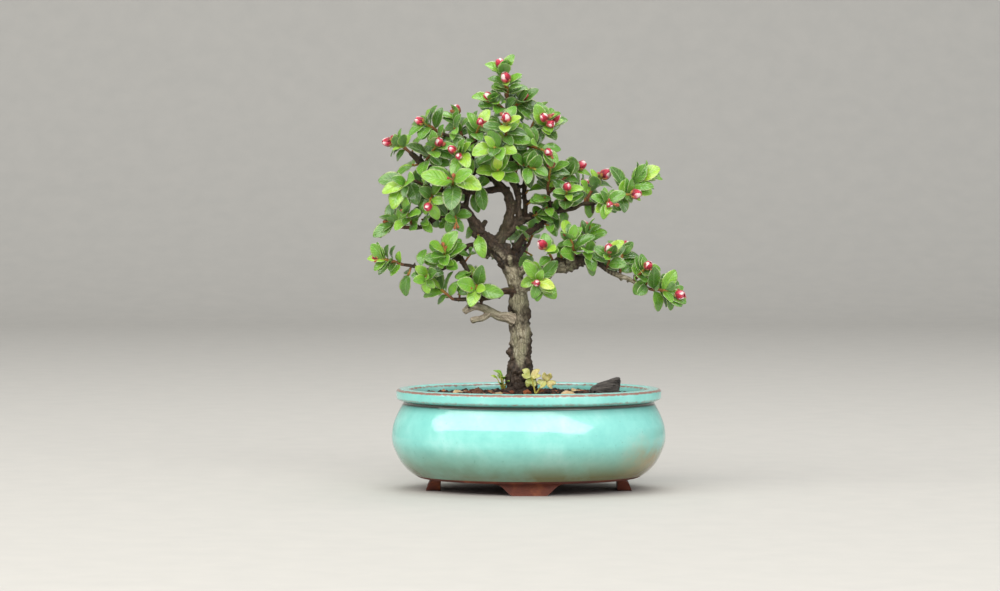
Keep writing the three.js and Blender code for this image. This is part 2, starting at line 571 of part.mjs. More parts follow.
const makeShoot = (shoot, grow = 0) => {
  const twig = taperedTube(shoot.line, TWIG.sides, grow);
  const stalks = shoot.buds.length < 2 ? [] : shoot.buds.map((bud) =>
    taperedTube([bud.from, bud.centre].map((p) => [...p.toArray(), TWIG.tipRadius * 0.9]), 4, grow));
  return joined([twig, ...stalks, ...shoot.leaves.map((leaf) => makeLeaf(leaf, grow)),
    ...shoot.buds.map((bud) => makeBud(bud, grow))]);
};

// ---------------------------------------------------------------- soil and what lies on it

const trunkFoot = LIMBS.trunk[1];

const soilHeight = (x, y) => {
  const far = Math.hypot(x - trunkFoot[0], y - trunkFoot[1]) / SOIL.moundReach;
  return lipEdge - SOIL.edgeDrop + SOIL.moundRise * Math.exp(-far * far * 3);
};

const makeSoil = (wood, screens, wires) => {
  const noise = noiseFrom(77);
  const outer = innerLip + 0.3 + GAP;
  const side = [...bowlInside()].reverse().map(([inset, z]) =>
    oval(inset + GAP, z === innerFloor ? z + GAP : z, SOIL.segments));
  const top = Array.from({ length: SOIL.rings }, (_, r) => {
    const share = 1 - r / SOIL.rings;
    return Array.from({ length: SOIL.segments }, (_, i) => {
      const a = (i / SOIL.segments) * 2 * Math.PI;
      const x = (halfLength - outer) * Math.cos(a) * share;
      const y = (halfWidth - outer) * Math.sin(a) * share;
      return [x, y, soilHeight(x, y) + (r ? (noise() - 0.5) * 2 * SOIL.grain : 0)];
    });
  });
  const body = toSolid(loft([...side, ...top], [0, 0, innerFloor + GAP], [0, 0, soilHeight(0, 0)]));
  const hardware = drainHoles.flatMap((x) => [
    slab(DRAIN.screen + 2 * GAP, DRAIN.screen + 2 * GAP, DRAIN.screenThickness + 4 * GAP, x, 0,
      screenBottom + DRAIN.screenThickness / 2),
    slab(2 * DRAIN.wireRadius + 2 * GAP, DRAIN.wireLegs + 2 * DRAIN.wireRadius + 2 * GAP,
      DRAIN.screenThickness + 2 * DRAIN.wireRadius + 4 * GAP, x, 0,
      screenBottom + DRAIN.screenThickness / 2 + DRAIN.wireRadius + GAP)]);
  return largest(body.subtract(joined([wood, ...hardware])));
};

// A rough lump: a ball pushed out of round, sitting a little above the soil.
const makeLump = (x, y, size, seed) => {
  const noise = noiseFrom(seed);
  const ball = mergeVertices(new THREE.IcosahedronGeometry(1, 1).deleteAttribute("normal").deleteAttribute("uv"));
  const p = ball.attributes.position;
  for (let i = 0; i < p.count; i++) {
    const k = 0.78 + 0.34 * noise();
    p.setXYZ(i, p.getX(i) * k * size[0], p.getY(i) * k * size[1], p.getZ(i) * k * size[2]);
  }
  return toSolid(ball.translate(x, y, soilHeight(x, y) + size[2] * 0.55));
};

const LUMPS = {
  bark_chip: [35.5, 4, [7.4, 5, 4.4], 5],
  lava_stone: [-24, -3, [3.1, 2.8, 2.4], 9],
};

// A clover-like weed: thin stalks from one point, each with three round leaflets.
const SORREL = [[[1, -9, 52], 5], [[8, -10.5, 50], 4.4]];
const SORREL_ROOT = [3, -11];

const makeSorrel = () => {
  const foot = [...SORREL_ROOT, soilHeight(...SORREL_ROOT) + SOIL.grain + GAP];
  const parts = SORREL.flatMap(([tip, size], k) => {
    const middle = foot.map((v, i) => (v + tip[i]) / 2 + [0, -0.6, 0.8][i]);
    const stalk = taperedTube([[...foot, 0.5], [...middle, 0.4], [...tip, 0.4]], 4);
    const leaflets = [0, 1, 2].map((i) => {
      const a = (i / 3) * 2 * Math.PI + 0.5 + k;
      const way = new THREE.Vector3(Math.cos(a), -0.35, Math.sin(a) * 0.9).normalize();
      return makeLeaf(leafAt(new THREE.Vector3(...tip), way, new THREE.Vector3(0.1, -0.8, 0.6), size));
    });
    return [stalk, ...leaflets];
  });
  return joined(parts);
};

// ---------------------------------------------------------------- materials

const finish = (color, roughness, metalness = 0) =>
  new THREE.MeshStandardMaterial({ color, roughness, metalness });

const glaze = finish(0x7fd6c2, 0.15);
const earth = finish(0x2e2119, 0.95);
const bark = finish(0x6b5a48, 0.9);
const foliage = finish(0x5da52f, 0.45);
const weed = finish(0xb9b55a, 0.6);
const plastic = finish(0x22302a, 0.5);
const wireMetal = finish(0x9a9da0, 0.35, 1);
const lumpFinish = { bark_chip: finish(0x3a332e, 0.95), lava_stone: finish(0x5c3a2c, 0.95) };

// ---------------------------------------------------------------- assembly

const tree = new THREE.Group();
const add = (name, solid, material) => {
  const mesh = new THREE.Mesh(toGeometry(solid), material);
  mesh.name = name;
  tree.add(mesh);
};

add("pot", makePot(), glaze);

const screens = drainHoles.map(makeScreen);
const wires = drainHoles.map(makeWire);
["left", "right"].forEach((where, i) => {
  add(`drain_screen_${where}`, screens[i], plastic);
  add(`screen_wire_${where}`, wires[i], wireMetal);
});

const wood = makeWood();
const fatWood = makeWood(GAP);
add("trunk_and_branches", wood, bark);

let lying = fatWood;
for (const [name, row] of Object.entries(LUMPS)) {
  const lump = largest(makeLump(...row).subtract(lying));
  add(name, lump, lumpFinish[name]);
}
const sorrel = largest(makeSorrel().subtract(fatWood));
add("wood_sorrel", sorrel, weed);

const fatLumps = Object.values(LUMPS).map(([x, y, size, seed]) =>
  makeLump(x, y, size.map((s) => s + GAP * 1.5), seed));
add("soil", makeSoil(joined([fatWood, ...fatLumps])), earth);

let occupied = fatWood;
for (const [name, shoot] of Object.entries(layTree())) {
  add(`shoot_${name}`, largest(makeShoot(shoot).subtract(occupied)), foliage);
  occupied = occupied.add(makeShoot(shoot, GAP));
}

// The part's origin is under the middle of its overall box, on the table.
const box = new THREE.Box3().setFromObject(tree);
tree.position.set(-(box.min.x + box.max.x) / 2, -(box.min.y + box.max.y) / 2, -box.min.z);

export default tree;
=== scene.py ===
# A small cotoneaster bonsai in bud, in an oval celadon pot.
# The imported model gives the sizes; this script gives each piece its fine shape and its finish.
import math

import bmesh
import bpy
import numpy as np
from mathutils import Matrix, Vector, kdtree, noise


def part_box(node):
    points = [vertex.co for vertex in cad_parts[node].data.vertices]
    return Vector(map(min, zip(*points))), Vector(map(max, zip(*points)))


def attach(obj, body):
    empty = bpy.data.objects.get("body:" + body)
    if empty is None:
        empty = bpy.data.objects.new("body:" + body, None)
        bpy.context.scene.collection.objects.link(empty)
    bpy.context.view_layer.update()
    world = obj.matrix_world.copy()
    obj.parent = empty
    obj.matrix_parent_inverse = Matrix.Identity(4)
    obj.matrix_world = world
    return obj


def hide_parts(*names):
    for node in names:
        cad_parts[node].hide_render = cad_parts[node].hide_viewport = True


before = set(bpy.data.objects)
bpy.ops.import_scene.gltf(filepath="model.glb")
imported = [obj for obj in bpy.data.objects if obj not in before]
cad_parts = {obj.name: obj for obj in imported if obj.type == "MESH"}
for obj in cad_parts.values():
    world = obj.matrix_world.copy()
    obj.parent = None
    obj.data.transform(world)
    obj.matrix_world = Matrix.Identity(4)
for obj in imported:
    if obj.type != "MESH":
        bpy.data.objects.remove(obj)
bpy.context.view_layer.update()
scene = bpy.context.scene

mm = 0.001
potLow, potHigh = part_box("pot")
# The tree and the pot are drawn in millimetres about the middle of the pot, on the table.
potMiddle = np.array([(potLow.x + potHigh.x) / 2, (potLow.y + potHigh.y) / 2, potLow.z])

view = {
    "distance": 1820.0,  # millimetres from the pot's middle
    "height": 166.0,
    "aimHeight": 88.5,
    "aside": -13.1,
    "lens": 144.0,
}


def place(point):
    return Vector(potMiddle + np.array(point, float) * mm)


def addCamera():
    camera = bpy.data.objects.new("camera", bpy.data.cameras.new("camera"))
    scene.collection.objects.link(camera)
    camera.location = place((view["aside"], -view["distance"], view["height"]))
    aim = place((view["aside"], 0, view["aimHeight"])) - camera.location
    camera.rotation_euler = aim.to_track_quat("-Z", "Y").to_euler()
    camera.data.lens = view["lens"]
    camera.data.clip_start = 0.01
    scene.camera = camera


addCamera()

# Small tools


def colour(code):
    # sRGB hex to the linear values that the shaders use
    parts = [int(code[i : i + 2], 16) / 255 for i in (1, 3, 5)]
    return tuple([c / 12.92 if c <= 0.04045 else ((c + 0.055) / 1.055) ** 2.4 for c in parts] + [1.0])


def addNode(tree, kind, inputs=None, stops=None, **settings):
    # One node with its settings; an input is a value or another node's output socket
    node = tree.nodes.new("ShaderNode" + kind)
    for name, value in settings.items():
        setattr(node, name, value)
    for key, value in (inputs or {}).items():
        if isinstance(value, bpy.types.NodeSocket):
            tree.links.new(value, node.inputs[key])
        else:
            node.inputs[key].default_value = value
    if stops:
        ramp = node.color_ramp.elements
        while len(ramp) < len(stops):
            ramp.new(0.5)
        for element, (position, shade) in zip(ramp, stops):
            element.position = position
            element.color = colour(shade) if isinstance(shade, str) else (shade, shade, shade, 1)
    return node


def newMaterial(name):
    material = bpy.data.materials.new(name)
    material.use_nodes = True
    material.node_tree.nodes.clear()
    return material, material.node_tree


def streamFrom(seed):
    # The same repeatable numbers from 0 to 1 that the part's own source draws
    state = [(seed * 2654435761) & 0xFFFFFFFF]

    def draw():
        state[0] = (state[0] * 1664525 + 1013904223) & 0xFFFFFFFF
        return state[0] / 4294967296

    return draw


def unit(v):
    return v / np.linalg.norm(v)


def buildObject(name, points, faces, materials, shares=None, smooth=True):
    # A mesh object from points in drawing millimetres; shares are values kept at each point
    mesh = bpy.data.meshes.new(name)
    mesh.from_pydata((potMiddle + np.asarray(points, float) * mm).tolist(), [], [list(f) for f in faces])
    storeShares(mesh, shares or {})
    for material in materials:
        mesh.materials.append(material)
    if smooth:
        mesh.polygons.foreach_set("use_smooth", [True] * len(mesh.polygons))
    mesh.update()
    thing = bpy.data.objects.new(name, mesh)
    scene.collection.objects.link(thing)
    return thing


def placesOf(mesh, kind="co"):
    rows = np.zeros(len(mesh.vertices) * 3)
    mesh.vertices.foreach_get(kind, rows)
    rows = rows.reshape(-1, 3)
    return (rows - potMiddle) / mm if kind == "co" else rows


def storeShares(mesh, shares):
    for key, values in shares.items():
        values = np.asarray(values, np.float32)
        kind = "FLOAT" if values.ndim == 1 else "FLOAT_VECTOR"
        layer = mesh.attributes.new(key, kind, "POINT")
        layer.data.foreach_set("value" if values.ndim == 1 else "vector", values.ravel())


def setFaceMaterials(thing, numbers):
    thing.data.polygons.foreach_set("material_index", np.asarray(numbers, np.int32))


def settle(thing, slotName, *nodes):
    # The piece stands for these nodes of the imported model
    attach(thing, "root")
    if nodes:
        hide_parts(*nodes)


def applied(thing):
    # The mesh as the modifiers leave it, with the modifiers gone
    graph = bpy.context.evaluated_depsgraph_get()
    mesh = bpy.data.meshes.new_from_object(thing.evaluated_get(graph))
    old = thing.data
    thing.modifiers.clear()
    thing.data = mesh
    bpy.data.meshes.remove(old)
    return thing


class Pile:
    # Collects many small shapes into one mesh
    def __init__(self):
        self.points, self.faces, self.numbers, self.shares, self.count = [], [], [], {}, 0

    def add(self, points, faces, number=0, **shares):
        points = np.asarray(points, float)
        self.points.append(points)
        self.faces += [[i + self.count for i in face] for face in faces]
        self.numbers += [number] * len(faces)
        for key, value in shares.items():
            rows = np.broadcast_to(np.asarray(value, float), (len(points),)) if np.ndim(value) < 2 else value
            self.shares.setdefault(key, []).append(rows)
        self.count += len(points)

    def build(self, name, materials):
        shares = {key: np.concatenate(rows) for key, rows in self.shares.items()}
        thing = buildObject(name, np.concatenate(self.points), self.faces, materials, shares)
        setFaceMaterials(thing, self.numbers)
        return thing


def ringFaces(rings, sides):
    return [
        (r * sides + i, r * sides + (i + 1) % sides, (r + 1) * sides + (i + 1) % sides, (r + 1) * sides + i)
        for r in range(rings - 1)
        for i in range(sides)
    ]


def capFaces(rings, sides, first, last):
    # Fans that close the first and the last ring round a middle point each
    end = (rings - 1) * sides
    return [face for i in range(sides) for face in (((i + 1) % sides, i, first), (end + i, end + (i + 1) % sides, last))]


def spinAround(angle):
    return np.array([[math.cos(angle), -math.sin(angle), 0], [math.sin(angle), math.cos(angle), 0], [0, 0, 1]])


def tubeRings(line, radii, sides, closeEnds=True):
    # Points and faces of a tube along a line, and the share of its length at each point
    line = np.asarray(line, float)
    tangents = np.gradient(line, axis=0)
    tangents /= np.linalg.norm(tangents, axis=1)[:, None]
    side = np.array([0.31, 0.93, 0.17])
    angles = np.arange(sides) / sides * 2 * math.pi
    rings = []
    for centre, tangent, radius in zip(line, tangents, radii):
        side = unit(side - tangent * side.dot(tangent))
        up = np.cross(tangent, side)
        rings.append(centre + radius * (np.cos(angles)[:, None] * side + np.sin(angles)[:, None] * up))
    points = list(np.concatenate(rings))
    faces = ringFaces(len(line), sides)
    if closeEnds:
        faces += capFaces(len(line), sides, len(points), len(points) + 1)
        points += [line[0] - tangents[0] * radii[0] * 0.5, line[-1] + tangents[-1] * radii[-1] * 0.5]
    along = np.repeat(np.linspace(0, 1, len(line)), sides)
    if closeEnds:
        along = np.concatenate([along, [0, 1]])
    return np.array(points), faces, along


def smoothLine(rows, step):
    # A rounded line through rows of [x, y, z, radius], a point about every step millimetres
    rows = np.asarray(rows, float)
    ends = np.vstack([2 * rows[0] - rows[1], rows, 2 * rows[-1] - rows[-2]])
    out = []
    for i in range(1, len(ends) - 2):
        a, b, c, d = ends[i - 1 : i + 3]
        parts = max(2, int(np.linalg.norm((c - b)[:3]) / step))
        for t in np.arange(parts) / parts:
            out.append(0.5 * (2 * b + (c - a) * t + (2 * a - 5 * b + 4 * c - d) * t**2 + (3 * b - a - 3 * c + d) * t**3))
    out.append(rows[-1])
    out = np.array(out)
    out[:, 3] = np.maximum(out[:, 3], rows[:, 3].min() * 0.9)
    return out


# Finishes of the pot

potFinish = {
    "glazeThick": "#8CD6CB",  # where the glaze pooled
    "glazeBody": "#7CCAC0",
    "glazeThin": "#A8E2DA",  # stretched thin over the shoulder
    "glazeDeep": "#33746C",
    "creaseShade": "#3B3A31",  # painted shade: a near-black band in the crease under the lip
    "glazeStain": "#696A3E",  # olive where iron from the clay came through
    "glazeBare": "#9C8A5E",  # tan where it ran nearly off the clay
    "glazeEdge": "#94695C",  # the clay's colour at the sharp edges
    "mottle": 6.0,  # millimetres between clouds in the glaze
    "speck": 0.9,
    "clay": "#6E3320",
    "clayLight": "#96542F",
}


def celadonGlaze():
    # Celadon stoneware glaze, dipped and fired: glassy, pooled deep in hollows, broken to the clay at edges; the crease
    # under the lip is darkened with painted shade
    material, tree = newMaterial("celadon_glaze_fired")
    spot = addNode(tree, "Attribute", attribute_name="drawn").outputs["Vector"]
    broken = addNode(tree, "Attribute", attribute_name="edgeBreak").outputs["Fac"]
    # the pool share tints the glaze deeper in hollows and, where it is high in the crease under the lip, sets the
    # painted shade
    pooled = addNode(tree, "Attribute", attribute_name="poolAndShade").outputs["Fac"]
    height = addNode(tree, "SeparateXYZ", {"Vector": spot}).outputs
    clouds = addNode(tree, "TexNoise", {"Vector": spot, "Scale": 1 / potFinish["mottle"] / 3, "Detail": 6.0, "Roughness": 0.6})
    small = addNode(tree, "TexNoise", {"Vector": spot, "Scale": 1 / potFinish["speck"] / 2, "Detail": 3.0})
    tint = addNode(tree, "ValToRGB", {"Fac": clouds.outputs["Fac"]},
                   stops=[(0.32, potFinish["glazeBody"]), (0.52, potFinish["glazeThick"]), (0.72, potFinish["glazeThin"])])
    deep = addNode(tree, "Mix", {0: pooled, 6: tint.outputs[0], 7: colour(potFinish["glazeDeep"])}, data_type="RGBA").outputs[2]
    # painted shade: the crease under the lip turns to a near-black band
    crease = addNode(tree, "MapRange", {"Value": pooled, "From Min": 0.55, "From Max": 0.88, "To Min": 0.0, "To Max": 0.95})
    deep = addNode(tree, "Mix", {0: crease.outputs[0], 6: deep, 7: colour(potFinish["creaseShade"])}, data_type="RGBA").outputs[2]
    # iron staining low on the bowl, in soft patches
    low = addNode(tree, "MapRange", {"Value": height["Z"], "From Min": 23.0, "From Max": 8.5})
    patch = addNode(tree, "TexNoise", {"Vector": spot, "Scale": 0.035, "Detail": 4.0, "Roughness": 0.55})
    patchShare = addNode(tree, "MapRange", {"Value": patch.outputs["Fac"], "From Min": 0.3, "From Max": 0.58, "To Min": 0.6})
    stainShare = addNode(tree, "Math", {0: low.outputs[0], 1: patchShare.outputs[0]}, operation="MULTIPLY")
    stained = addNode(tree, "Mix", {0: stainShare.outputs[0], 6: deep, 7: colour(potFinish["glazeStain"])},
                      data_type="RGBA").outputs[2]
    # a tan patch at one end of the oval, where the glaze ran thin
    ends = addNode(tree, "MapRange", {"Value": height["X"], "From Min": 38.0, "From Max": 56.0})
    lowEnds = addNode(tree, "MapRange", {"Value": height["Z"], "From Min": 30.0, "From Max": 17.0})
    bareShare = addNode(tree, "Math", {0: ends.outputs[0], 1: lowEnds.outputs[0]}, operation="MULTIPLY")
    ragged = addNode(tree, "MapRange", {"Value": clouds.outputs["Fac"], "From Min": 0.35, "From Max": 0.6})
    bareRagged = addNode(tree, "Math", {0: bareShare.outputs[0], 1: ragged.outputs[0]}, operation="MULTIPLY")
    stained = addNode(tree, "Mix", {0: bareRagged.outputs[0], 6: stained, 7: colour(potFinish["glazeBare"])},
                      data_type="RGBA").outputs[2]
    specks = addNode(tree, "MapRange", {"Value": small.outputs["Fac"], "From Min": 0.66, "From Max": 0.76})
    specked = addNode(tree, "Math", {0: specks.outputs[0], 1: 0.35}, operation="MULTIPLY")
    dotted = addNode(tree, "Mix", {0: specked.outputs[0], 6: stained, 7: colour("#5E8F80")}, data_type="RGBA").outputs[2]
    wobble = addNode(tree, "Math", {0: broken, 1: small.outputs["Fac"]}, operation="MULTIPLY")
    edge = addNode(tree, "MapRange", {"Value": wobble.outputs[0], "From Min": 0.14, "From Max": 0.36})
    final = addNode(tree, "Mix", {0: edge.outputs[0], 6: dotted, 7: colour(potFinish["glazeEdge"])}, data_type="RGBA").outputs[2]
    wave = addNode(tree, "TexNoise", {"Vector": spot, "Scale": 0.12, "Detail": 2.0})
    bump = addNode(tree, "Bump", {"Height": wave.outputs["Fac"], "Strength": 0.25, "Distance": 0.0006})
    pits = addNode(tree, "Bump", {"Height": small.outputs["Fac"], "Strength": 0.12, "Distance": 0.0001, "Normal": bump.outputs[0]})
    gloss = addNode(tree, "MapRange", {"Value": clouds.outputs["Fac"], "To Min": 0.07, "To Max": 0.2})
    shader = addNode(tree, "BsdfPrincipled", {"Base Color": final, "Roughness": gloss.outputs[0], "IOR": 1.52,
                                              "Coat Weight": 0.4, "Coat Roughness": 0.05, "Normal": pits.outputs[0]})
    addNode(tree, "OutputMaterial", {"Surface": shader.outputs[0]})
    return material


def firedClay():
    # Unglazed red stoneware clay, pressed and fired: dry, sandy, darker where flame touched it
    material, tree = newMaterial("red_stoneware_clay_fired")
    spot = addNode(tree, "Attribute", attribute_name="drawn").outputs["Vector"]
    tone = addNode(tree, "TexNoise", {"Vector": spot, "Scale": 0.12, "Detail": 5.0})
    sand = addNode(tree, "TexNoise", {"Vector": spot, "Scale": 2.2, "Detail": 4.0})  # grains of about half a millimetre
    shade = addNode(tree, "ValToRGB", {"Fac": tone.outputs["Fac"]},
                    stops=[(0.3, "#4A2118"), (0.55, potFinish["clay"]), (0.75, potFinish["clayLight"])])
    bump = addNode(tree, "Bump", {"Height": sand.outputs["Fac"], "Strength": 0.5, "Distance": 0.0002})
    shader = addNode(tree, "BsdfPrincipled", {"Base Color": shade.outputs[0], "Roughness": 0.72, "IOR": 1.5, "Normal": bump.outputs[0]})
    addNode(tree, "OutputMaterial", {"Surface": shader.outputs[0]})
    return material


# The pot

potShape = {
    "length": 125.0,
    "width": 98.0,
    "footHeight": 5.2,
    "footDepth": 8.0,
    "footTop": 32.0,
    "footBottom": 14.5,
    "baseInset": 14.3,
    "around": 224,
    # [inset from the belly, height, glaze pooled and painted crease shade, glaze broken], from the base's edge up, over
    # the lip and down inside
    "profile": [
        [15.6, 5.2, 0, 0], [14.3, 5.35, 0, 0.3], [12.2, 5.9, 0.1, 0.2], [9.8, 7.3, 0, 0], [6.6, 9.9, 0, 0],
        [3.9, 13.2, 0, 0], [1.9, 17.0, 0, 0], [0.5, 20.6, 0, 0], [0.0, 23.5, 0, 0], [0.1, 26.2, 0, 0],
        [0.7, 29.6, 0, 0], [1.9, 33.0, 0, 0], [3.4, 36.2, 0.1, 0], [4.7, 38.6, 0.5, 0], [5.2, 39.6, 1, 0],
        [4.9, 40.2, 1, 0], [3.7, 40.8, 0.6, 0.2], [2.5, 41.4, 0.3, 0.5], [2.15, 42.1, 0, 0.3], [2.1, 43.2, 0, 0], [2.1, 44.6, 0, 0],
        [2.25, 45.3, 0, 0.75], [2.7, 45.75, 0, 1], [3.5, 46.1, 0, 0.35], [4.8, 46.35, 0, 0], [6.2, 46.35, 0, 0.1],
        [7.6, 46.0, 0, 0.3], [8.3, 45.5, 0, 0.75], [8.7, 44.7, 0, 0.2], [8.8, 42.0, 0.2, 0], [7.6, 36.0, 0, 0], [6.4, 32.0, 0, 0],
        [5.2, 23.5, 0, 0], [7.8, 16.5, 0, 0], [13.3, 12.0, 0, 0], [17.8, 9.8, 0, 0],
    ],
    "holeRadius": 6.0,
    "holeSpacing": 44.0,
}


def ovalRing(inset, z, count):
    a = np.arange(count) / count * 2 * math.pi
    x = (potShape["length"] / 2 - inset) * np.cos(a)
    y = (potShape["width"] / 2 - inset) * np.sin(a)
    return np.stack([x, y, np.full(count, float(z))], 1)


def potBowl(materials):
    rows = smoothLine([[r[0], r[1], 0, 1] for r in potShape["profile"]], 0.9)
    keys = np.array(potShape["profile"], float)
    # pooled shares, which also carry the painted crease shade, and broken shares carried along the same rounded profile
    span = np.concatenate([[0], np.cumsum(np.linalg.norm(np.diff(keys[:, :2], axis=0), axis=1))])
    mine = np.concatenate([[0], np.cumsum(np.linalg.norm(np.diff(rows[:, :2], axis=0), axis=1))])
    mine *= span[-1] / mine[-1]
    poolAndShade = np.interp(mine, span, keys[:, 2])
    broken = np.interp(mine, span, keys[:, 3])
    count = potShape["around"]
    points = [ovalRing(row[0], row[1], count) for row in rows]
    # slight unevenness of a hand-finished wall
    for ring, row in zip(points, rows):
        for p in ring:
            n = noise.noise(Vector((p[0] * 0.02, p[1] * 0.02, p[2] * 0.03)))
            p[:2] *= 1 + 0.0018 * n
    base = ovalRing(rows[0][0], rows[0][1], count)
    floor = ovalRing(rows[-1][0], rows[-1][1], count)
    flat = np.concatenate(points + [base.mean(0)[None], floor.mean(0)[None]])
    faces = ringFaces(len(rows), count) + capFaces(len(rows), count, len(flat) - 2, len(flat) - 1)
    shares = {
        "poolAndShade": np.concatenate([np.repeat(poolAndShade, count), [0, 0]]),
        "edgeBreak": np.concatenate([np.repeat(broken, count), [0, 0]]),
    }
    return buildObject("oval_pot", flat, faces, materials, shares)


def footOutline():
    # Half of a cloud foot's outline as [across, height], from where it leaves the bowl down to the table
    top, bottom, h = potShape["footTop"] / 2, potShape["footBottom"] / 2, potShape["footHeight"]
    t = np.linspace(0, 1, 15)
    bend = [(-top, h), (-top * 0.72, h), (-bottom * 1.35, 0), (-bottom, 0)]
    x, z = [(1 - t) ** 3 * bend[0][k] + 3 * t * (1 - t) ** 2 * bend[1][k] + 3 * t**2 * (1 - t) * bend[2][k] + t**3 * bend[3][k]
            for k in (0, 1)]
    return np.stack([x, z], 1)


def potFeet(material):
    pile = Pile()
    half = footOutline()
    outline = np.vstack([[half[0][0], potShape["footHeight"] + 1.1], half,
                         (half * [-1, 1])[::-1], [-half[0][0], potShape["footHeight"] + 1.1]])
    a, b = potShape["length"] / 2 - potShape["baseInset"], potShape["width"] / 2 - potShape["baseInset"]
    for turn, (reach, other) in enumerate(((b, a), (a, b), (b, a), (a, b))):
        layers = []
        for depth in np.linspace(0, potShape["footDepth"], 7):
            ring = []
            for across, z in outline:
                outer = reach * math.sqrt(max(0, 1 - (across / other) ** 2))
                ease = 0.35 * min(1, max(0, (1 - z) / 1)) if depth < 1 else 0  # softened lower edge
                shrink = 0.985 if depth in (0, potShape["footDepth"]) else 1
                inner = reach - potShape["footDepth"]
                ring.append([across * shrink, -(outer + (inner - outer) * depth / potShape["footDepth"]) + ease, z])
            layers.append(ring)
        points = np.array(layers).reshape(-1, 3)
        points = points @ spinAround(turn * math.pi / 2).T
        n = len(outline)
        faces = [(r * n + i, (r + 1) * n + i, (r + 1) * n + (i + 1) % n, r * n + (i + 1) % n) for r in range(6) for i in range(n)]
        faces += [tuple(range(n)), tuple(6 * n + i for i in reversed(range(n)))]
        pile.add(points, faces)
    return pile.build("pot_feet", [material])


def cutWith(thing, cutter, how):
    modifier = thing.modifiers.new("cut", "BOOLEAN")
    modifier.operation = how
    modifier.object = cutter
    modifier.solver = "EXACT"
    applied(thing)
    bpy.data.objects.remove(cutter)


def facesOutward(thing):
    shape = bmesh.new()
    shape.from_mesh(thing.data)
    bmesh.ops.recalc_face_normals(shape, faces=shape.faces)
    shape.to_mesh(thing.data)
    shape.free()


def makePot():
    glaze, clay = celadonGlaze(), firedClay()
    pot = potBowl([glaze, clay])
    feet = potFeet(clay)
    facesOutward(feet)
    cutWith(pot, feet, "UNION")
    for x in (-potShape["holeSpacing"] / 2, potShape["holeSpacing"] / 2):
        points, faces, _ = tubeRings([(x, 0, 2), (x, 0, 13)], [potShape["holeRadius"]] * 2, 40)
        drill = buildObject("drill", points, faces, [clay])
        facesOutward(drill)
        cutWith(pot, drill, "DIFFERENCE")
    mesh = pot.data
    mesh.materials.clear()
    mesh.materials.append(glaze)
    mesh.materials.append(clay)
    drawn = placesOf(mesh)
    storeShares(mesh, {"drawn": drawn})
    # the base, the feet and a narrow band above them are bare clay, and so is the inside below the soil
    numbers = []
    for polygon in mesh.polygons:
        middle = drawn[list(polygon.vertices)].mean(0)
        inside = math.hypot(middle[0] / (potShape["length"] / 2), middle[1] / (potShape["width"] / 2)) < 0.9
        numbers.append(1 if middle[2] < 6.7 or (inside and middle[2] < 38 and polygon.normal.z > -0.2) else 0)
    setFaceMaterials(pot, numbers)
    mesh.polygons.foreach_set("use_smooth", [True] * len(mesh.polygons))
    mesh.set_sharp_from_angle(angle=math.radians(38))
    settle(pot, "pot_glaze", "pot")
    print("pot:", len(mesh.polygons), "faces")


makePot()

# The soil and what lies on it

soilShape = {
    "height": 41.9,  # at the wall
    "mound": 2.4,
    "moundReach": 34.0,
    "insetTop": 9.0,
    "grains": 2600,
    "grainSize": (0.8, 2.0),  # radius
    "pebbleEvery": 40,  # grains from one pebble to the next
    "around": 120,
    "rings": 34,
    # [inset from the belly, height] of the body below the surface
    "body": [(9.0, 36.0), (6.3, 26.0), (9.5, 16.0), (18.4, 10.3)],
    "seed": 21,
}
trunkFoot = (-3.0, 0.0)


def soilHeight(x, y):
    far = math.hypot(x - trunkFoot[0], y - trunkFoot[1]) / soilShape["moundReach"]
    return soilShape["height"] + soilShape["mound"] * math.exp(-far * far * 3)


def pottingGrit():
    # Moist clay and lava grit, sieved: dull, nearly black between grains, some grains rust red or tan
    material, tree = newMaterial("potting_grit_sieved")
    spot = addNode(tree, "Attribute", attribute_name="drawn").outputs["Vector"]
    tone = addNode(tree, "Attribute", attribute_name="grainTone").outputs["Fac"]
    shade = addNode(tree, "ValToRGB", {"Fac": tone},
                    stops=[(0.0, "#1A120D"), (0.35, "#33221A"), (0.6, "#4A2C1F"), (0.8, "#7D3F26"), (0.92, "#A05A34"), (1.0, "#A98A66")])
    rough = addNode(tree, "TexNoise", {"Vector": spot, "Scale": 1.3, "Detail": 6.0, "Roughness": 0.7})  # pores under a millimetre
    dark = addNode(tree, "MapRange", {"Value": rough.outputs["Fac"], "From Min": 0.35, "From Max": 0.65, "To Min": 0.45, "To Max": 1.15})
    final = addNode(tree, "Mix", {0: 1.0, 6: shade.outputs[0], 7: dark.outputs[0]},
                    data_type="RGBA", blend_type="MULTIPLY").outputs[2]
    bump = addNode(tree, "Bump", {"Height": rough.outputs["Fac"], "Strength": 0.9, "Distance": 0.0003})
    shader = addNode(tree, "BsdfPrincipled", {"Base Color": final, "Roughness": 0.88, "IOR": 1.45, "Normal": bump.outputs[0]})
    addNode(tree, "OutputMaterial", {"Surface": shader.outputs[0]})
    return material


def lumpPoints(size, seed, detail=1):
    shape = bmesh.new()
    bmesh.ops.create_icosphere(shape, subdivisions=detail, radius=1)
    points = np.array([v.co for v in shape.verts])
    faces = [[v.index for v in f.verts] for f in shape.faces]
    shape.free()
    shift = Vector((seed * 3.7, seed * 1.3, 0))
    for p in points:
        p *= 1 + 0.38 * noise.noise(Vector(p) * 1.1 + shift)
    return points * size, faces


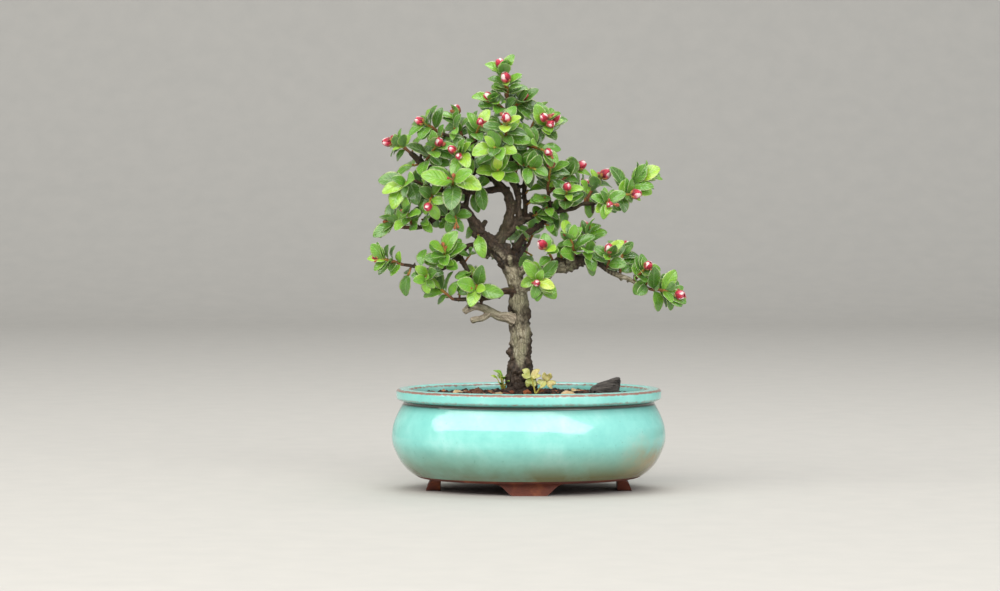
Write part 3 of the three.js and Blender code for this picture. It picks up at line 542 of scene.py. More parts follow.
def makeSoil():
    draw = streamFrom(soilShape["seed"])
    half = np.array([potShape["length"] / 2 - soilShape["insetTop"], potShape["width"] / 2 - soilShape["insetTop"]])
    around, rings = soilShape["around"], soilShape["rings"]
    points, faces = [], []
    for r in range(rings + 1):
        share = 1 - r / (rings + 1)
        for i in range(around):
            a = i / around * 2 * math.pi
            x, y = half[0] * math.cos(a) * share, half[1] * math.sin(a) * share
            lift = 0.75 * noise.noise(Vector((x * 0.35, y * 0.35, 3))) + 0.6 * noise.noise(Vector((x * 0.09, y * 0.09, 8)))
            points.append((x, y, soilHeight(x, y) + lift - (1.2 if r == 0 else 0)))
    points.append((0, 0, soilHeight(0, 0)))
    faces += ringFaces(rings + 1, around)
    for i in range(around):
        faces.append((rings * around + i, rings * around + (i + 1) % around, len(points) - 1))
    # the body below, down to the pot's floor
    skirt = len(points)
    for inset, z in soilShape["body"]:
        points += ovalRing(inset + 0.6, z, around).tolist()
    points.append((0, 0, soilShape["body"][-1][1]))
    previous = 0
    for level in range(len(soilShape["body"])):
        start = skirt + level * around
        for i in range(around):
            j = (i + 1) % around
            faces.append((previous + j, previous + i, start + i, start + j))
        previous = start
    for i in range(around):
        faces.append((previous + (i + 1) % around, previous + i, len(points) - 1))
    points = np.array(points)
    pile = Pile()
    pile.add(points, faces, grainTone=np.full(len(points), 0.12), drawn=points)
    kinds = [lumpPoints((1, 1, 1), seed) for seed in range(9)]
    for k in range(soilShape["grains"]):
        a, share = draw() * 2 * math.pi, math.sqrt(draw())
        x, y = half[0] * 0.985 * math.cos(a) * share, half[1] * 0.985 * math.sin(a) * share
        small, large = soilShape["grainSize"]
        size = small + (large - small) * draw() ** 2.2
        if k % soilShape["pebbleEvery"] == 0:
            size = 1.6 + 0.6 * draw()  # now and then a pebble
        shape, shapeFaces = kinds[int(draw() * 9)]
        spin = spinAround(draw() * 2 * math.pi)
        stretch = np.array([1, 0.75 + 0.3 * draw(), 0.6 + 0.35 * draw()])
        middle = np.array([x, y, soilHeight(x, y) + size * (0.1 + 0.35 * draw())])
        grain = (shape * stretch * size) @ spin.T + middle
        pile.add(grain, shapeFaces, grainTone=np.full(len(grain), draw() ** 1.6), drawn=grain)
    soil = pile.build("potting_soil", [pottingGrit()])
    soil.data.set_sharp_from_angle(angle=math.radians(50))
    settle(soil, "potting_grit", "soil")
    print("soil:", len(soil.data.polygons), "faces")


makeSoil()

# How each loose lump looks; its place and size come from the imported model
debris = {
    "bark_chip": {"seed": 5, "slot": "bark_chip",
                  "dark": "#1F1B19", "light": "#5F5852", "grain": 1.4, "blocky": 0.55, "tilt": 0.55, "grow": (1.0, 1.0, 1.45)},
    "lava_stone": {"seed": 9, "slot": "lava_stone",
                   "dark": "#3E2016", "light": "#8A5A3E", "grain": 0.7, "blocky": 1.0, "tilt": 0.0, "grow": (1.2, 1.1, 1.35)},
}


def roughLump(name, look):
    # A weathered lump: bark is layered and fibrous, lava is full of pores
    material, tree = newMaterial(name + "_weathered")
    spot = addNode(tree, "Attribute", attribute_name="drawn").outputs["Vector"]
    layered = addNode(tree, "Mapping", {"Vector": spot, "Scale": (0.5, 0.9, 2.2)})
    tone = addNode(tree, "TexNoise", {"Vector": layered.outputs[0], "Scale": 1 / look["grain"] / 2, "Detail": 8.0, "Roughness": 0.7})
    pores = addNode(tree, "TexVoronoi", {"Vector": layered.outputs[0], "Scale": 1 / look["grain"]})
    shade = addNode(tree, "ValToRGB", {"Fac": tone.outputs["Fac"]}, stops=[(0.3, look["dark"]), (0.7, look["light"])])
    relief = addNode(tree, "Math", {0: tone.outputs["Fac"], 1: pores.outputs["Distance"]}, operation="ADD")
    bump = addNode(tree, "Bump", {"Height": relief.outputs[0], "Strength": 0.9, "Distance": 0.0006})
    shader = addNode(tree, "BsdfPrincipled", {"Base Color": shade.outputs[0], "Roughness": 0.85, "Normal": bump.outputs[0]})
    addNode(tree, "OutputMaterial", {"Surface": shader.outputs[0]})
    return material


def makeDebris():
    for name, look in debris.items():
        low, high = (np.array(v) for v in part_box(name))
        middle = ((low + high) / 2 - potMiddle) / mm
        points, faces = lumpPoints((1, 1, 1), look["seed"], 4)
        for p in points:
            broad = noise.noise(Vector(p) * 3 + Vector((look["seed"], 0, 0)))
            p *= 1 + 0.2 * broad + 0.13 * noise.noise(Vector(p) * 7) + 0.05 * noise.noise(Vector(p) * 16)
            p[:] = np.sign(p) * np.abs(p) ** look["blocky"]
            p[2] += look["tilt"] * p[0] * (p[2] > 0)
        points = points / np.abs(points).max(0) * ((high - low) / mm / 2 * 0.98 * look["grow"]) + middle
        lump = buildObject(name + "_fine", points, faces, [roughLump(name, look)], {"drawn": points})
        settle(lump, look["slot"], name)
    print("loose lumps:", ", ".join(debris))


makeDebris()

hardware = {
    "mesh_plastic": {"colour": "#1E2B26", "rough": 0.48},
    "wire": {"colour": "#B9BBBD", "rough": 0.32},
}


def makeHardware():
    # Injection-moulded polyethylene mesh: waxy, slightly worn on its bars
    plastic, tree = newMaterial("polyethylene_mesh_moulded")
    spot = addNode(tree, "TexCoord").outputs["Object"]
    wear = addNode(tree, "TexNoise", {"Vector": spot, "Scale": 900.0, "Detail": 3.0})
    shade = addNode(tree, "ValToRGB", {"Fac": wear.outputs["Fac"]}, stops=[(0.35, hardware["mesh_plastic"]["colour"]), (0.8, "#3A4A42")])
    bump = addNode(tree, "Bump", {"Height": wear.outputs["Fac"], "Strength": 0.2, "Distance": 0.0001})
    shader = addNode(tree, "BsdfPrincipled", {"Base Color": shade.outputs[0], "Roughness": hardware["mesh_plastic"]["rough"],
                                              "Normal": bump.outputs[0]})
    addNode(tree, "OutputMaterial", {"Surface": shader.outputs[0]})
    # Drawn aluminium wire: fine lines along it, dulled by damp
    wire, tree = newMaterial("aluminium_wire_drawn")
    spot = addNode(tree, "TexCoord").outputs["Object"]
    dull = addNode(tree, "TexNoise", {"Vector": spot, "Scale": 1400.0, "Detail": 4.0})
    gloss = addNode(tree, "MapRange", {"Value": dull.outputs["Fac"], "To Min": hardware["wire"]["rough"] - 0.08, "To Max": 0.55})
    shade = addNode(tree, "ValToRGB", {"Fac": dull.outputs["Fac"]}, stops=[(0.3, "#8F9193"), (0.7, hardware["wire"]["colour"])])
    shader = addNode(tree, "BsdfPrincipled", {"Base Color": shade.outputs[0], "Metallic": 1.0, "Roughness": gloss.outputs[0]})
    addNode(tree, "OutputMaterial", {"Surface": shader.outputs[0]})
    for name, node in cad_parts.items():
        made = plastic if name.startswith("drain_screen") else wire if name.startswith("screen_wire") else None
        if made:
            node.data.materials.clear()
            node.data.materials.append(made)
    print("drain screens and wires: finished as packed")


makeHardware()

# The wood

limbs = {
    "trunk": [[-2.5, 0, 37, 7.2], [-3, 0, 46, 6.8], [-4, 0, 52, 5.7], [-3.8, 0, 60, 5], [-3.8, 0, 69, 4.8],
        [-4.3, 0, 78, 4.5], [-4.6, 0, 86, 4.3], [-5.4, 0, 93, 4], [-7.2, 0, 99, 3.8], [-10, 0.5, 104.5, 4.1],
        [-13, 1, 109, 4.2], [-16, 1, 112.5, 3.6], [-17.5, 1, 115, 2.4]],
    "root_left": [[-3, 0, 45, 3.8], [-9, -2, 43.5, 2.8], [-14, -4, 39, 1.8], [-18, -5, 34, 1]],
    "root_right": [[-3, 0, 45, 3.8], [3, -2, 43.5, 2.7], [8, -4, 39, 1.8], [12, -6, 33, 1]],
    "root_front": [[-3, 0, 44, 3.6], [-4, -7, 42.5, 2.5], [-5, -11, 38, 1.6], [-6, -14, 33, 0.9]],
    "root_back": [[-3, 0, 44, 3.6], [-1, 7, 42.5, 2.6], [1, 11, 38, 1.7], [2, 15, 33, 0.9]],
    "leader_left": [[-14, 1, 111, 3.4], [-11, 0.5, 117.5, 3.2], [-8.6, 0, 124, 2.8], [-8.4, 0, 129, 2.5],
        [-9.5, 0, 134, 2.3], [-13, 0.5, 138.5, 2], [-16, 1, 142, 1.6], [-17.5, 2, 148, 1.2]],
    "leader_right": [[-11, 0.5, 116, 2.8], [-5.8, 1, 121, 2.4], [-4.7, 1.5, 128, 2.1], [-5.2, 2, 134, 1.9],
        [-7, 2, 139.5, 1.8], [-9, 2, 144, 1.5], [-9, 1.5, 152, 1.4], [-9.5, 1, 161, 1.2],
        [-9.5, 0.5, 170, 1], [-10, 0, 178, 0.8]],
    "leader_rear": [[-7, 1, 119, 1.9], [-2.5, 4, 124, 1.6], [-1.6, 6, 131, 1.4], [-1.8, 8, 138, 1.3],
        [-1, 9, 146, 1.1], [2, 10, 153, 0.8]],
    "left_main": [[-15, 1, 111.5, 3.4], [-20, 0.5, 115, 2.8], [-23.5, 0, 118.5, 2.5], [-26, 0, 123, 2.3],
        [-28.5, -1, 127.5, 2.1], [-31, -1.5, 130, 1.6]],
    "left_reach": [[-29, -1, 127.5, 1.8], [-35, -2, 126.5, 1.7], [-42, -3, 124.5, 1.5], [-46, -3.5, 121.5, 1.2],
        [-50, -4, 119.5, 1], [-57, -5, 119.7, 0.8]],
    "left_upright": [[-29, -1, 128, 1.5], [-28, -1, 134, 1.2], [-26.8, -1.5, 142, 1.1], [-26, -2, 149, 1],
        [-24.5, -2, 155, 0.9], [-24, -2.5, 161, 0.8]],
    "left_cross": [[-12, 0.5, 137.5, 1.8], [-17, -1, 136.3, 1.5], [-23, -3, 136, 1.3], [-31, -4, 135.8, 1.2],
        [-40, -4.5, 136.5, 1], [-46, -5, 138, 0.8], [-52, -5.5, 141, 0.7]],
    "left_stub": [[-30, -1.5, 129, 1.3], [-36, -1.5, 133, 1.1], [-40.5, 0, 137.5, 1], [-44.5, 1.5, 142, 1.2],
        [-48, 2, 147, 1.9], [-50.5, 2, 150.5, 1.7], [-54, 1.5, 153.5, 0.9]],
    "crown_left": [[-17, 2, 146.5, 1.2], [-21, 0, 153, 1.1], [-28, -2, 158.5, 0.9], [-35, -3, 160.5, 0.8],
        [-41, -3, 163, 0.7]],
    "crown_front": [[-8.5, 1.5, 147, 1.2], [-9, -5, 152, 1], [-10.5, -9, 158, 0.8]],
    "crown_right": [[-9, 1.5, 151, 1.2], [-3, -0.5, 156.5, 1], [2, -2, 159, 0.8], [6, -3, 161.5, 0.7]],
    "crown_back": [[-5, 2, 134, 1.4], [-6, 10, 142, 1.2], [-8, 18, 150, 1], [-11, 23, 155, 0.8]],
    "crown_back_left": [[-13, 0.5, 138.5, 1.3], [-22, 8, 144, 1.2], [-30, 14, 149, 1], [-36, 18, 152, 0.8]],
    "left_back": [[-28, -1, 127, 1.4], [-34, 8, 129, 1.2], [-41, 15, 131, 1], [-46, 19, 133, 0.7]],
    "right_back": [[-4, 1, 122, 1.6], [4, 9, 126, 1.3], [12, 17, 130, 1], [19, 22, 133, 0.8]],
    "back_low": [[-8, 1, 101, 2], [-6, 10, 105, 1.6], [-3, 19, 108, 1.2], [0, 27, 111, 0.8]],
    "low_left": [[-16, 0.5, 112.5, 2.2], [-21, -1, 111.8, 1.5], [-26, -2, 111.3, 1.3], [-30, -3, 110, 1.3],
        [-31.5, -3.5, 107, 1.3], [-29.5, -4.5, 103, 1.2], [-27, -5, 99, 1.1], [-24.5, -5, 95.5, 0.9]],
    "low_left_arm": [[-31, -3, 108, 1.3], [-33.5, -4, 105, 1.2], [-38.5, -5, 101.2, 1.1], [-46, -6, 100.3, 0.9],
        [-52, -6.5, 102, 0.8], [-57, -7, 102.8, 0.7]],
    "low_spur": [[-6, -1, 91, 2], [-12.5, -4.5, 90, 1.6], [-18.5, -7, 87.8, 1.4], [-24, -8, 87.6, 1.2],
        [-30, -8, 87, 0.9], [-34, -8, 87.2, 0.8]],
    "snag": [[-5, -1, 77.5, 2.9], [-10, -2.5, 78.3, 2.4], [-13, -3, 79.3, 2], [-17.5, -4, 81.5, 1.9],
        [-22, -5, 83.3, 1.9], [-26, -6, 83.6, 1.8], [-29.3, -6.5, 81.3, 1.5]],
    "snag_stub": [[-17, -3.8, 81, 1.6], [-21.5, -6, 78.6, 1.4], [-26, -7.5, 77.5, 1.4]],
    "low_right": [[-4.5, -1, 92, 3], [1, -3, 94.5, 2.7], [7, -5, 99.5, 2.8], [13, -6, 102.3, 3.1],
        [20, -7, 104, 3.1], [26.5, -7.5, 105.3, 2.5], [29.5, -7.5, 104.5, 1.6], [33, -8, 102, 1.3],
        [38, -8.5, 99, 1.2], [43.5, -9, 97, 1], [49, -9.5, 94.5, 0.9], [54.5, -10, 92, 0.7]],
    "mid_right": [[-10, 2, 106, 2.2], [-4, 4, 112.5, 1.6], [0.6, 3.5, 117.6, 1.4], [6, 3, 121, 1.3],
        [10.5, 2, 125, 1.2], [14, 1.5, 127, 1.1], [20, 1, 128, 1.1], [23.3, 0.5, 130, 1], [29, 0, 130.3, 0.9],
        [34, -0.5, 131, 0.8], [38, -1, 133.5, 0.7]],
    "mid_right_spur": [[10.5, 2, 125, 0.9], [9.7, 1.5, 131, 0.8], [8.7, 1, 136, 0.7]],
}

woodShape = {
    "voxel": 0.36,  # millimetres
    "sides": 18,
    "trunkRelief": 0.42,  # height of the bark plates on the trunk
    "twigRelief": 0.14,
    "cleanTo": 96,  # below this height the trunk has no stubs
    "footDark": (70, 8),  # old bark clings below this height, over this much
    "forkDark": (92, 14),  # and again above this height
    "dampTop": 56,
}
# How pale and bare the wood is: 0 grey plated trunk, 0.5 dark young bark, 1 bare dead wood
limbTone = {"snag": 1.0, "snag_stub": 0.95, "left_stub": 0.62, "low_left": 0.55, "trunk": 0.0, "root_left": 0.25,
            "root_right": 0.25, "root_front": 0.25, "root_back": 0.25, "low_right": 0.18, "leader_left": 0.4, "leader_right": 0.38,
            "left_main": 0.42}
limbSlim = {"leader_left": 0.78, "leader_right": 0.74, "leader_rear": 0.74}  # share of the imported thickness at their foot

barkFinish = {
    "plateLight": "#D6CDB6",
    "plateMid": "#978C73",
    "plateDark": "#5A4D3B",
    "flakeAndShadeDark": "#0B0705",  # dark outer bark in patches, and painted shade on the flanks of the trunk and limbs
    "flakeAndShadeLight": "#4C3322",
    "crevice": "#241811",
    "damp": "#33241A",  # where the foot draws water from the soil
    "lichen": "#7F8560",
    "youngDark": "#160E08",
    "youngLight": "#5F432E",
    "bareLight": "#BBAD97",
    "bareDark": "#5E4F3D",
    "plateSize": 3.2,  # millimetres
}


def platedBark():
    # Bark of an old cotoneaster: grey-tan plates flaking at the edges over dark brown, young limbs smooth and dark; the
    # dark old bark colours also give painted shade on the flanks of the trunk and limbs
    material, tree = newMaterial("cotoneaster_bark_grown")
    spot = addNode(tree, "Attribute", attribute_name="barkPlace").outputs["Vector"]
    tone = addNode(tree, "Attribute", attribute_name="limbTone").outputs["Fac"]
    crack = addNode(tree, "Attribute", attribute_name="barkCrack").outputs["Fac"]
    low = addNode(tree, "Attribute", attribute_name="soilDamp").outputs["Fac"]
    fine = addNode(tree, "TexNoise", {"Vector": spot, "Scale": 0.9, "Detail": 8.0, "Roughness": 0.72})
    broad = addNode(tree, "TexNoise", {"Vector": spot, "Scale": 1 / barkFinish["plateSize"] / 3, "Detail": 4.0})
    flakes = addNode(tree, "TexVoronoi", {"Vector": spot, "Scale": 1 / barkFinish["plateSize"] * 1.9}, feature="DISTANCE_TO_EDGE")
    plates = addNode(tree, "ValToRGB", {"Fac": fine.outputs["Fac"]},
                     stops=[(0.25, barkFinish["plateDark"]), (0.5, barkFinish["plateMid"]), (0.72, barkFinish["plateLight"])])
    young = addNode(tree, "ValToRGB", {"Fac": fine.outputs["Fac"]},
                    stops=[(0.3, barkFinish["youngDark"]), (0.72, barkFinish["youngLight"])])
    bare = addNode(tree, "ValToRGB", {"Fac": fine.outputs["Fac"]},
                   stops=[(0.36, barkFinish["bareDark"]), (0.62, barkFinish["bareLight"])])
    toYoung = addNode(tree, "MapRange", {"Value": tone, "From Min": 0.12, "From Max": 0.5})
    toBare = addNode(tree, "MapRange", {"Value": tone, "From Min": 0.7, "From Max": 0.95})
    living = addNode(tree, "Mix", {0: toYoung.outputs[0], 6: plates.outputs[0], 7: young.outputs[0]}, data_type="RGBA").outputs[2]
    mixed = addNode(tree, "Mix", {0: toBare.outputs[0], 6: living, 7: bare.outputs[0]}, data_type="RGBA").outputs[2]
    patch = addNode(tree, "MapRange", {"Value": broad.outputs["Fac"], "From Min": 0.5, "From Max": 0.66, "To Min": 0.0, "To Max": 0.45})
    grown = addNode(tree, "Mix", {0: patch.outputs[0], 6: mixed, 7: colour(barkFinish["lichen"])}, data_type="RGBA").outputs[2]
    # dark old bark at the foot, the fork and in patches, together with painted shade on the flanks
    barkAndFlankShade = addNode(tree, "Attribute", attribute_name="oldBarkAndFlankShade").outputs["Fac"]
    flakeAndShade = addNode(tree, "ValToRGB", {"Fac": fine.outputs["Fac"]},
                    stops=[(0.36, barkFinish["flakeAndShadeDark"]), (0.68, barkFinish["flakeAndShadeLight"])])
    greyed = addNode(tree, "Mix", {0: barkAndFlankShade, 6: grown, 7: flakeAndShade.outputs[0]}, data_type="RGBA").outputs[2]
    thin = addNode(tree, "MapRange", {"Value": flakes.outputs["Distance"], "From Min": 0.0, "From Max": 0.07, "To Min": 0.4, "To Max": 0.0})
    keep = addNode(tree, "MapRange", {"Value": tone, "From Min": 0.75, "From Max": 0.9, "To Min": 1.0, "To Max": 0.15})
    thinShare = addNode(tree, "Math", {0: thin.outputs[0], 1: keep.outputs[0]}, operation="MULTIPLY")
    lined = addNode(tree, "Mix", {0: thinShare.outputs[0], 6: greyed, 7: colour("#2A1C14")}, data_type="RGBA").outputs[2]
    cracked = addNode(tree, "Mix", {0: crack, 6: lined, 7: colour(barkFinish["crevice"])}, data_type="RGBA").outputs[2]
    damp = addNode(tree, "Mix", {0: low, 6: cracked, 7: colour(barkFinish["damp"])}, data_type="RGBA").outputs[2]
    relief = addNode(tree, "Math", {0: fine.outputs["Fac"], 1: thinShare.outputs[0]}, operation="SUBTRACT")
    bump = addNode(tree, "Bump", {"Height": relief.outputs[0], "Strength": 1.0, "Distance": 0.0005})
    shader = addNode(tree, "BsdfPrincipled", {"Base Color": damp, "Roughness": 0.64, "IOR": 1.45, "Normal": bump.outputs[0]})
    addNode(tree, "OutputMaterial", {"Surface": shader.outputs[0]})
    return material


def addStubs(pile, samples, line, tone, name, draw):
    # Short dead spurs and pruning stubs, and the knobs they leave
    k = 4
    while k < len(line) - 3:
        if tone == 0 and line[k, 2] < woodShape["cleanTo"]:
            k += 1  # the trunk itself is clean up to the fork
            continue
        radius = line[k, 3]
        along = unit(line[k + 1, :3] - line[k - 1, :3])
        side = perpendicular(along)
        turn = draw() * 2 * math.pi
        out = unit(side * math.cos(turn) + np.cross(side, along) * math.sin(turn) + along * (draw() - 0.3) + np.array([0, 0, 0.25]))
        reach = radius * 0.85 + (0.6 + 1.4 * draw() if draw() < 0.72 else 2.0 + 2.8 * draw())
        thick = radius * (0.4 + 0.3 * draw()) if radius > 1.4 else radius * 0.75
        steps = np.linspace(0.2, 1, 4)[:, None]
        bent = line[k, :3] + out * reach * steps + np.array([0, 0, 0.5]) * steps**2 * (draw() - 0.3)
        radii = np.array([1.25, 1.0, 0.86, 0.8]) * max(0.5, thick)
        points, faces, _ = tubeRings(bent, radii, 10)
        pile.add(points, faces)
        samples.extend((p, r, 3.0 * i, out, tone, name) for i, (p, r) in enumerate(zip(bent, radii)))
        k += 1 + int(draw() * 4)


def perpendicular(v):
    return unit(np.cross(v, (0, 0, 1) if abs(v[2]) < 0.9 else (0, 1, 0)))


def makeWood():
    pile = Pile()
    samples = []
    draw = streamFrom(61)
    for name, limb in limbs.items():
        line = smoothLine(limb, 1.2)
        slim = limbSlim.get(name, 1)
        line[:, 3] *= slim + (1 - slim) * np.linspace(0, 1, len(line)) ** 2
        tone = limbTone.get(name, 0.5)
        # old joints swell the limbs and kink them a little
        if not name.startswith("root"):
            for k in range(len(line)):
                wander = Vector(line[k, :3]) * 0.22
                shift = np.array([noise.noise(wander), noise.noise(wander + Vector((9, 0, 0))), noise.noise(wander + Vector((0, 9, 0)))])
                line[k, :3] += shift * min(1.3, line[k, 3] * 0.45) * (0.25 if tone < 0.1 else 1) * min(1, k / 3, (len(line) - 1 - k) / 3)
                line[k, 3] *= 1 + 0.2 * noise.noise(Vector(line[k, :3]) * 0.5) * (0.15 if tone < 0.1 else 1)
        if tone < 0.7 and not name.startswith("root"):
            addStubs(pile, samples, line, tone, name, draw)
        points, faces, along = tubeRings(line[:, :3], line[:, 3], woodShape["sides"])
        pile.add(points, faces)
        run = np.concatenate([[0], np.cumsum(np.linalg.norm(np.diff(line[:, :3], axis=0), axis=1))])
        tangents = np.gradient(line[:, :3], axis=0)
        samples += [(p[:3], p[3], s, unit(t), tone, name) for p, s, t in zip(line, run, tangents)]
    wood = pile.build("trunk_and_limbs", [])
    remesh = wood.modifiers.new("skin", "REMESH")
    remesh.mode = "VOXEL"
    remesh.voxel_size = woodShape["voxel"] * mm * 1
    applied(wood)
    relax = wood.modifiers.new("relax", "SMOOTH")
    relax.iterations = 2
    relax.factor = 0.45
    applied(wood)
    mesh = wood.data
    count = len(mesh.vertices)
    places, normals = placesOf(mesh), placesOf(mesh, "normal")
    tree = kdtree.KDTree(len(samples))
    for i, sample in enumerate(samples):
        tree.insert(sample[0], i)
    tree.balance()
    barkPlace = np.zeros((count, 3), np.float32)
    tones, cracks, damp, moves, barkAndFlankShade = (np.zeros(count) for _ in range(5))
    upright = np.array([0.31, 0.93, 0.17])
    for i, spot in enumerate(places):
        # the limb whose skin is nearest, so that bark runs along it
        near = min(tree.find_n(spot, 5), key=lambda found: found[2] - samples[found[1]][1])
        centre, radius, run, along, tone, name = samples[near[1]]
        away = spot - centre
        run += along.dot(away)
        side = unit(upright - along * upright.dot(along))
        up = np.cross(along, side)
        stretched = np.array([away.dot(side), away.dot(up), run * 0.42])
        barkPlace[i] = stretched + np.array([0, 0, len(name) * 7])
        tones[i] = tone
        thick = min(1, max(0, (radius - 1.2) / 2.6))
        q = Vector(stretched)
        cell = noise.voronoi(q * 0.3 + Vector((0, 0, len(name))))[0]
        edge = cell[1] - cell[0]
        groove = max(0, 1 - edge / 0.1) * min(1, max(0, 0.6 + 1.4 * noise.noise(q * 0.16)))
        rough = noise.fractal(q * 0.55, 0.9, 2.1, 4)
        # dark old bark clings to the foot and the fork and lies in patches; the darkening toward the left and right
        # flanks, as the camera sees them, is painted shade
        sideways = abs(away[0]) / max(radius, 1)
        clingAndFlankShade = 1.1 * (sideways - 0.72) + 1.5 * noise.noise(q * 0.14 + Vector((3, 1, 0))) - 0.08
        footTop, footFade = woodShape["footDark"]
        forkStart, forkFade = woodShape["forkDark"]
        clingAndFlankShade += max(0, (footTop - spot[2]) / footFade) + max(0, (spot[2] - forkStart) / forkFade)
        barkAndFlankShade[i] = min(0.92, max(0, clingAndFlankShade * 1.8)) * (1 if tone < 0.3 else 0.7 if tone < 0.7 else 0)
        plated = thick * (1 if tone < 0.7 else 0.25)
        cracks[i] = groove * plated * 0.6
        swell = noise.noise(Vector(spot) * 0.11) * radius * 0.07
        swell += noise.noise(Vector(spot) * 0.36) * min(radius, 3.5) * 0.42 * barkAndFlankShade[i]
        flaky = barkAndFlankShade[i] * (1.9 * abs(noise.noise(q * 0.6)) - 0.18 + 0.45 * noise.noise(q * 1.7)) * thick
        relief = plated * woodShape["trunkRelief"] * (0.55 * rough - groove) + (1 - plated) * woodShape["twigRelief"] * rough
        moves[i] = relief + swell + flaky
        if tone > 0.7:
            moves[i] += 0.16 * math.sin(math.atan2(away.dot(up), away.dot(side)) * 7 + run * 0.2)  # the grain of dead wood
        damp[i] = min(0.85, max(0, (woodShape["dampTop"] - spot[2]) / 13)) * (0.6 + 0.5 * rough)
    places += normals * moves[:, None]
    mesh.vertices.foreach_set("co", (potMiddle + places * mm).ravel())
    storeShares(mesh, {"limbTone": tones, "barkCrack": cracks, "soilDamp": np.clip(damp, 0, 1), "oldBarkAndFlankShade": barkAndFlankShade,
                       "barkPlace": barkPlace})
    mesh.materials.append(platedBark())
    mesh.polygons.foreach_set("use_smooth", [True] * len(mesh.polygons))
    mesh.update()
    settle(wood, "bark", "trunk_and_branches")
    print("wood:", len(mesh.polygons), "faces")


makeWood()

# Where the leaves and buds grow: the same rules and the same stream of numbers as in the part's source

leafShape = {
    "widthShare": 0.52,
    "fold": 0.1,
    "camber": 0.07,
    "clear": 1.3,  # room between two blades that needs no further try
    "tries": 16,
    "golden": 2.39996,
    "budRadius": 2.3,
    # [left, right, low, high]
    "windows": [
        (-24, -11, 113, 131), (-25, -8, 72, 106), (0, 52, 55, 90), (-45, -20, 60, 86), (-2, 14, 104, 118),
        (6, 27, 94, 106), (-21, 3, 118, 147), (-70, -28, 112, 120), (26, 60, 116, 127),
    ],
    "extra": 1.4,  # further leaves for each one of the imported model
    "smallestGap": 0.22,
    "spurSpacing": 6.4,  # millimetres of limb for each leafy spur
    "spurLeaves": 3,
}
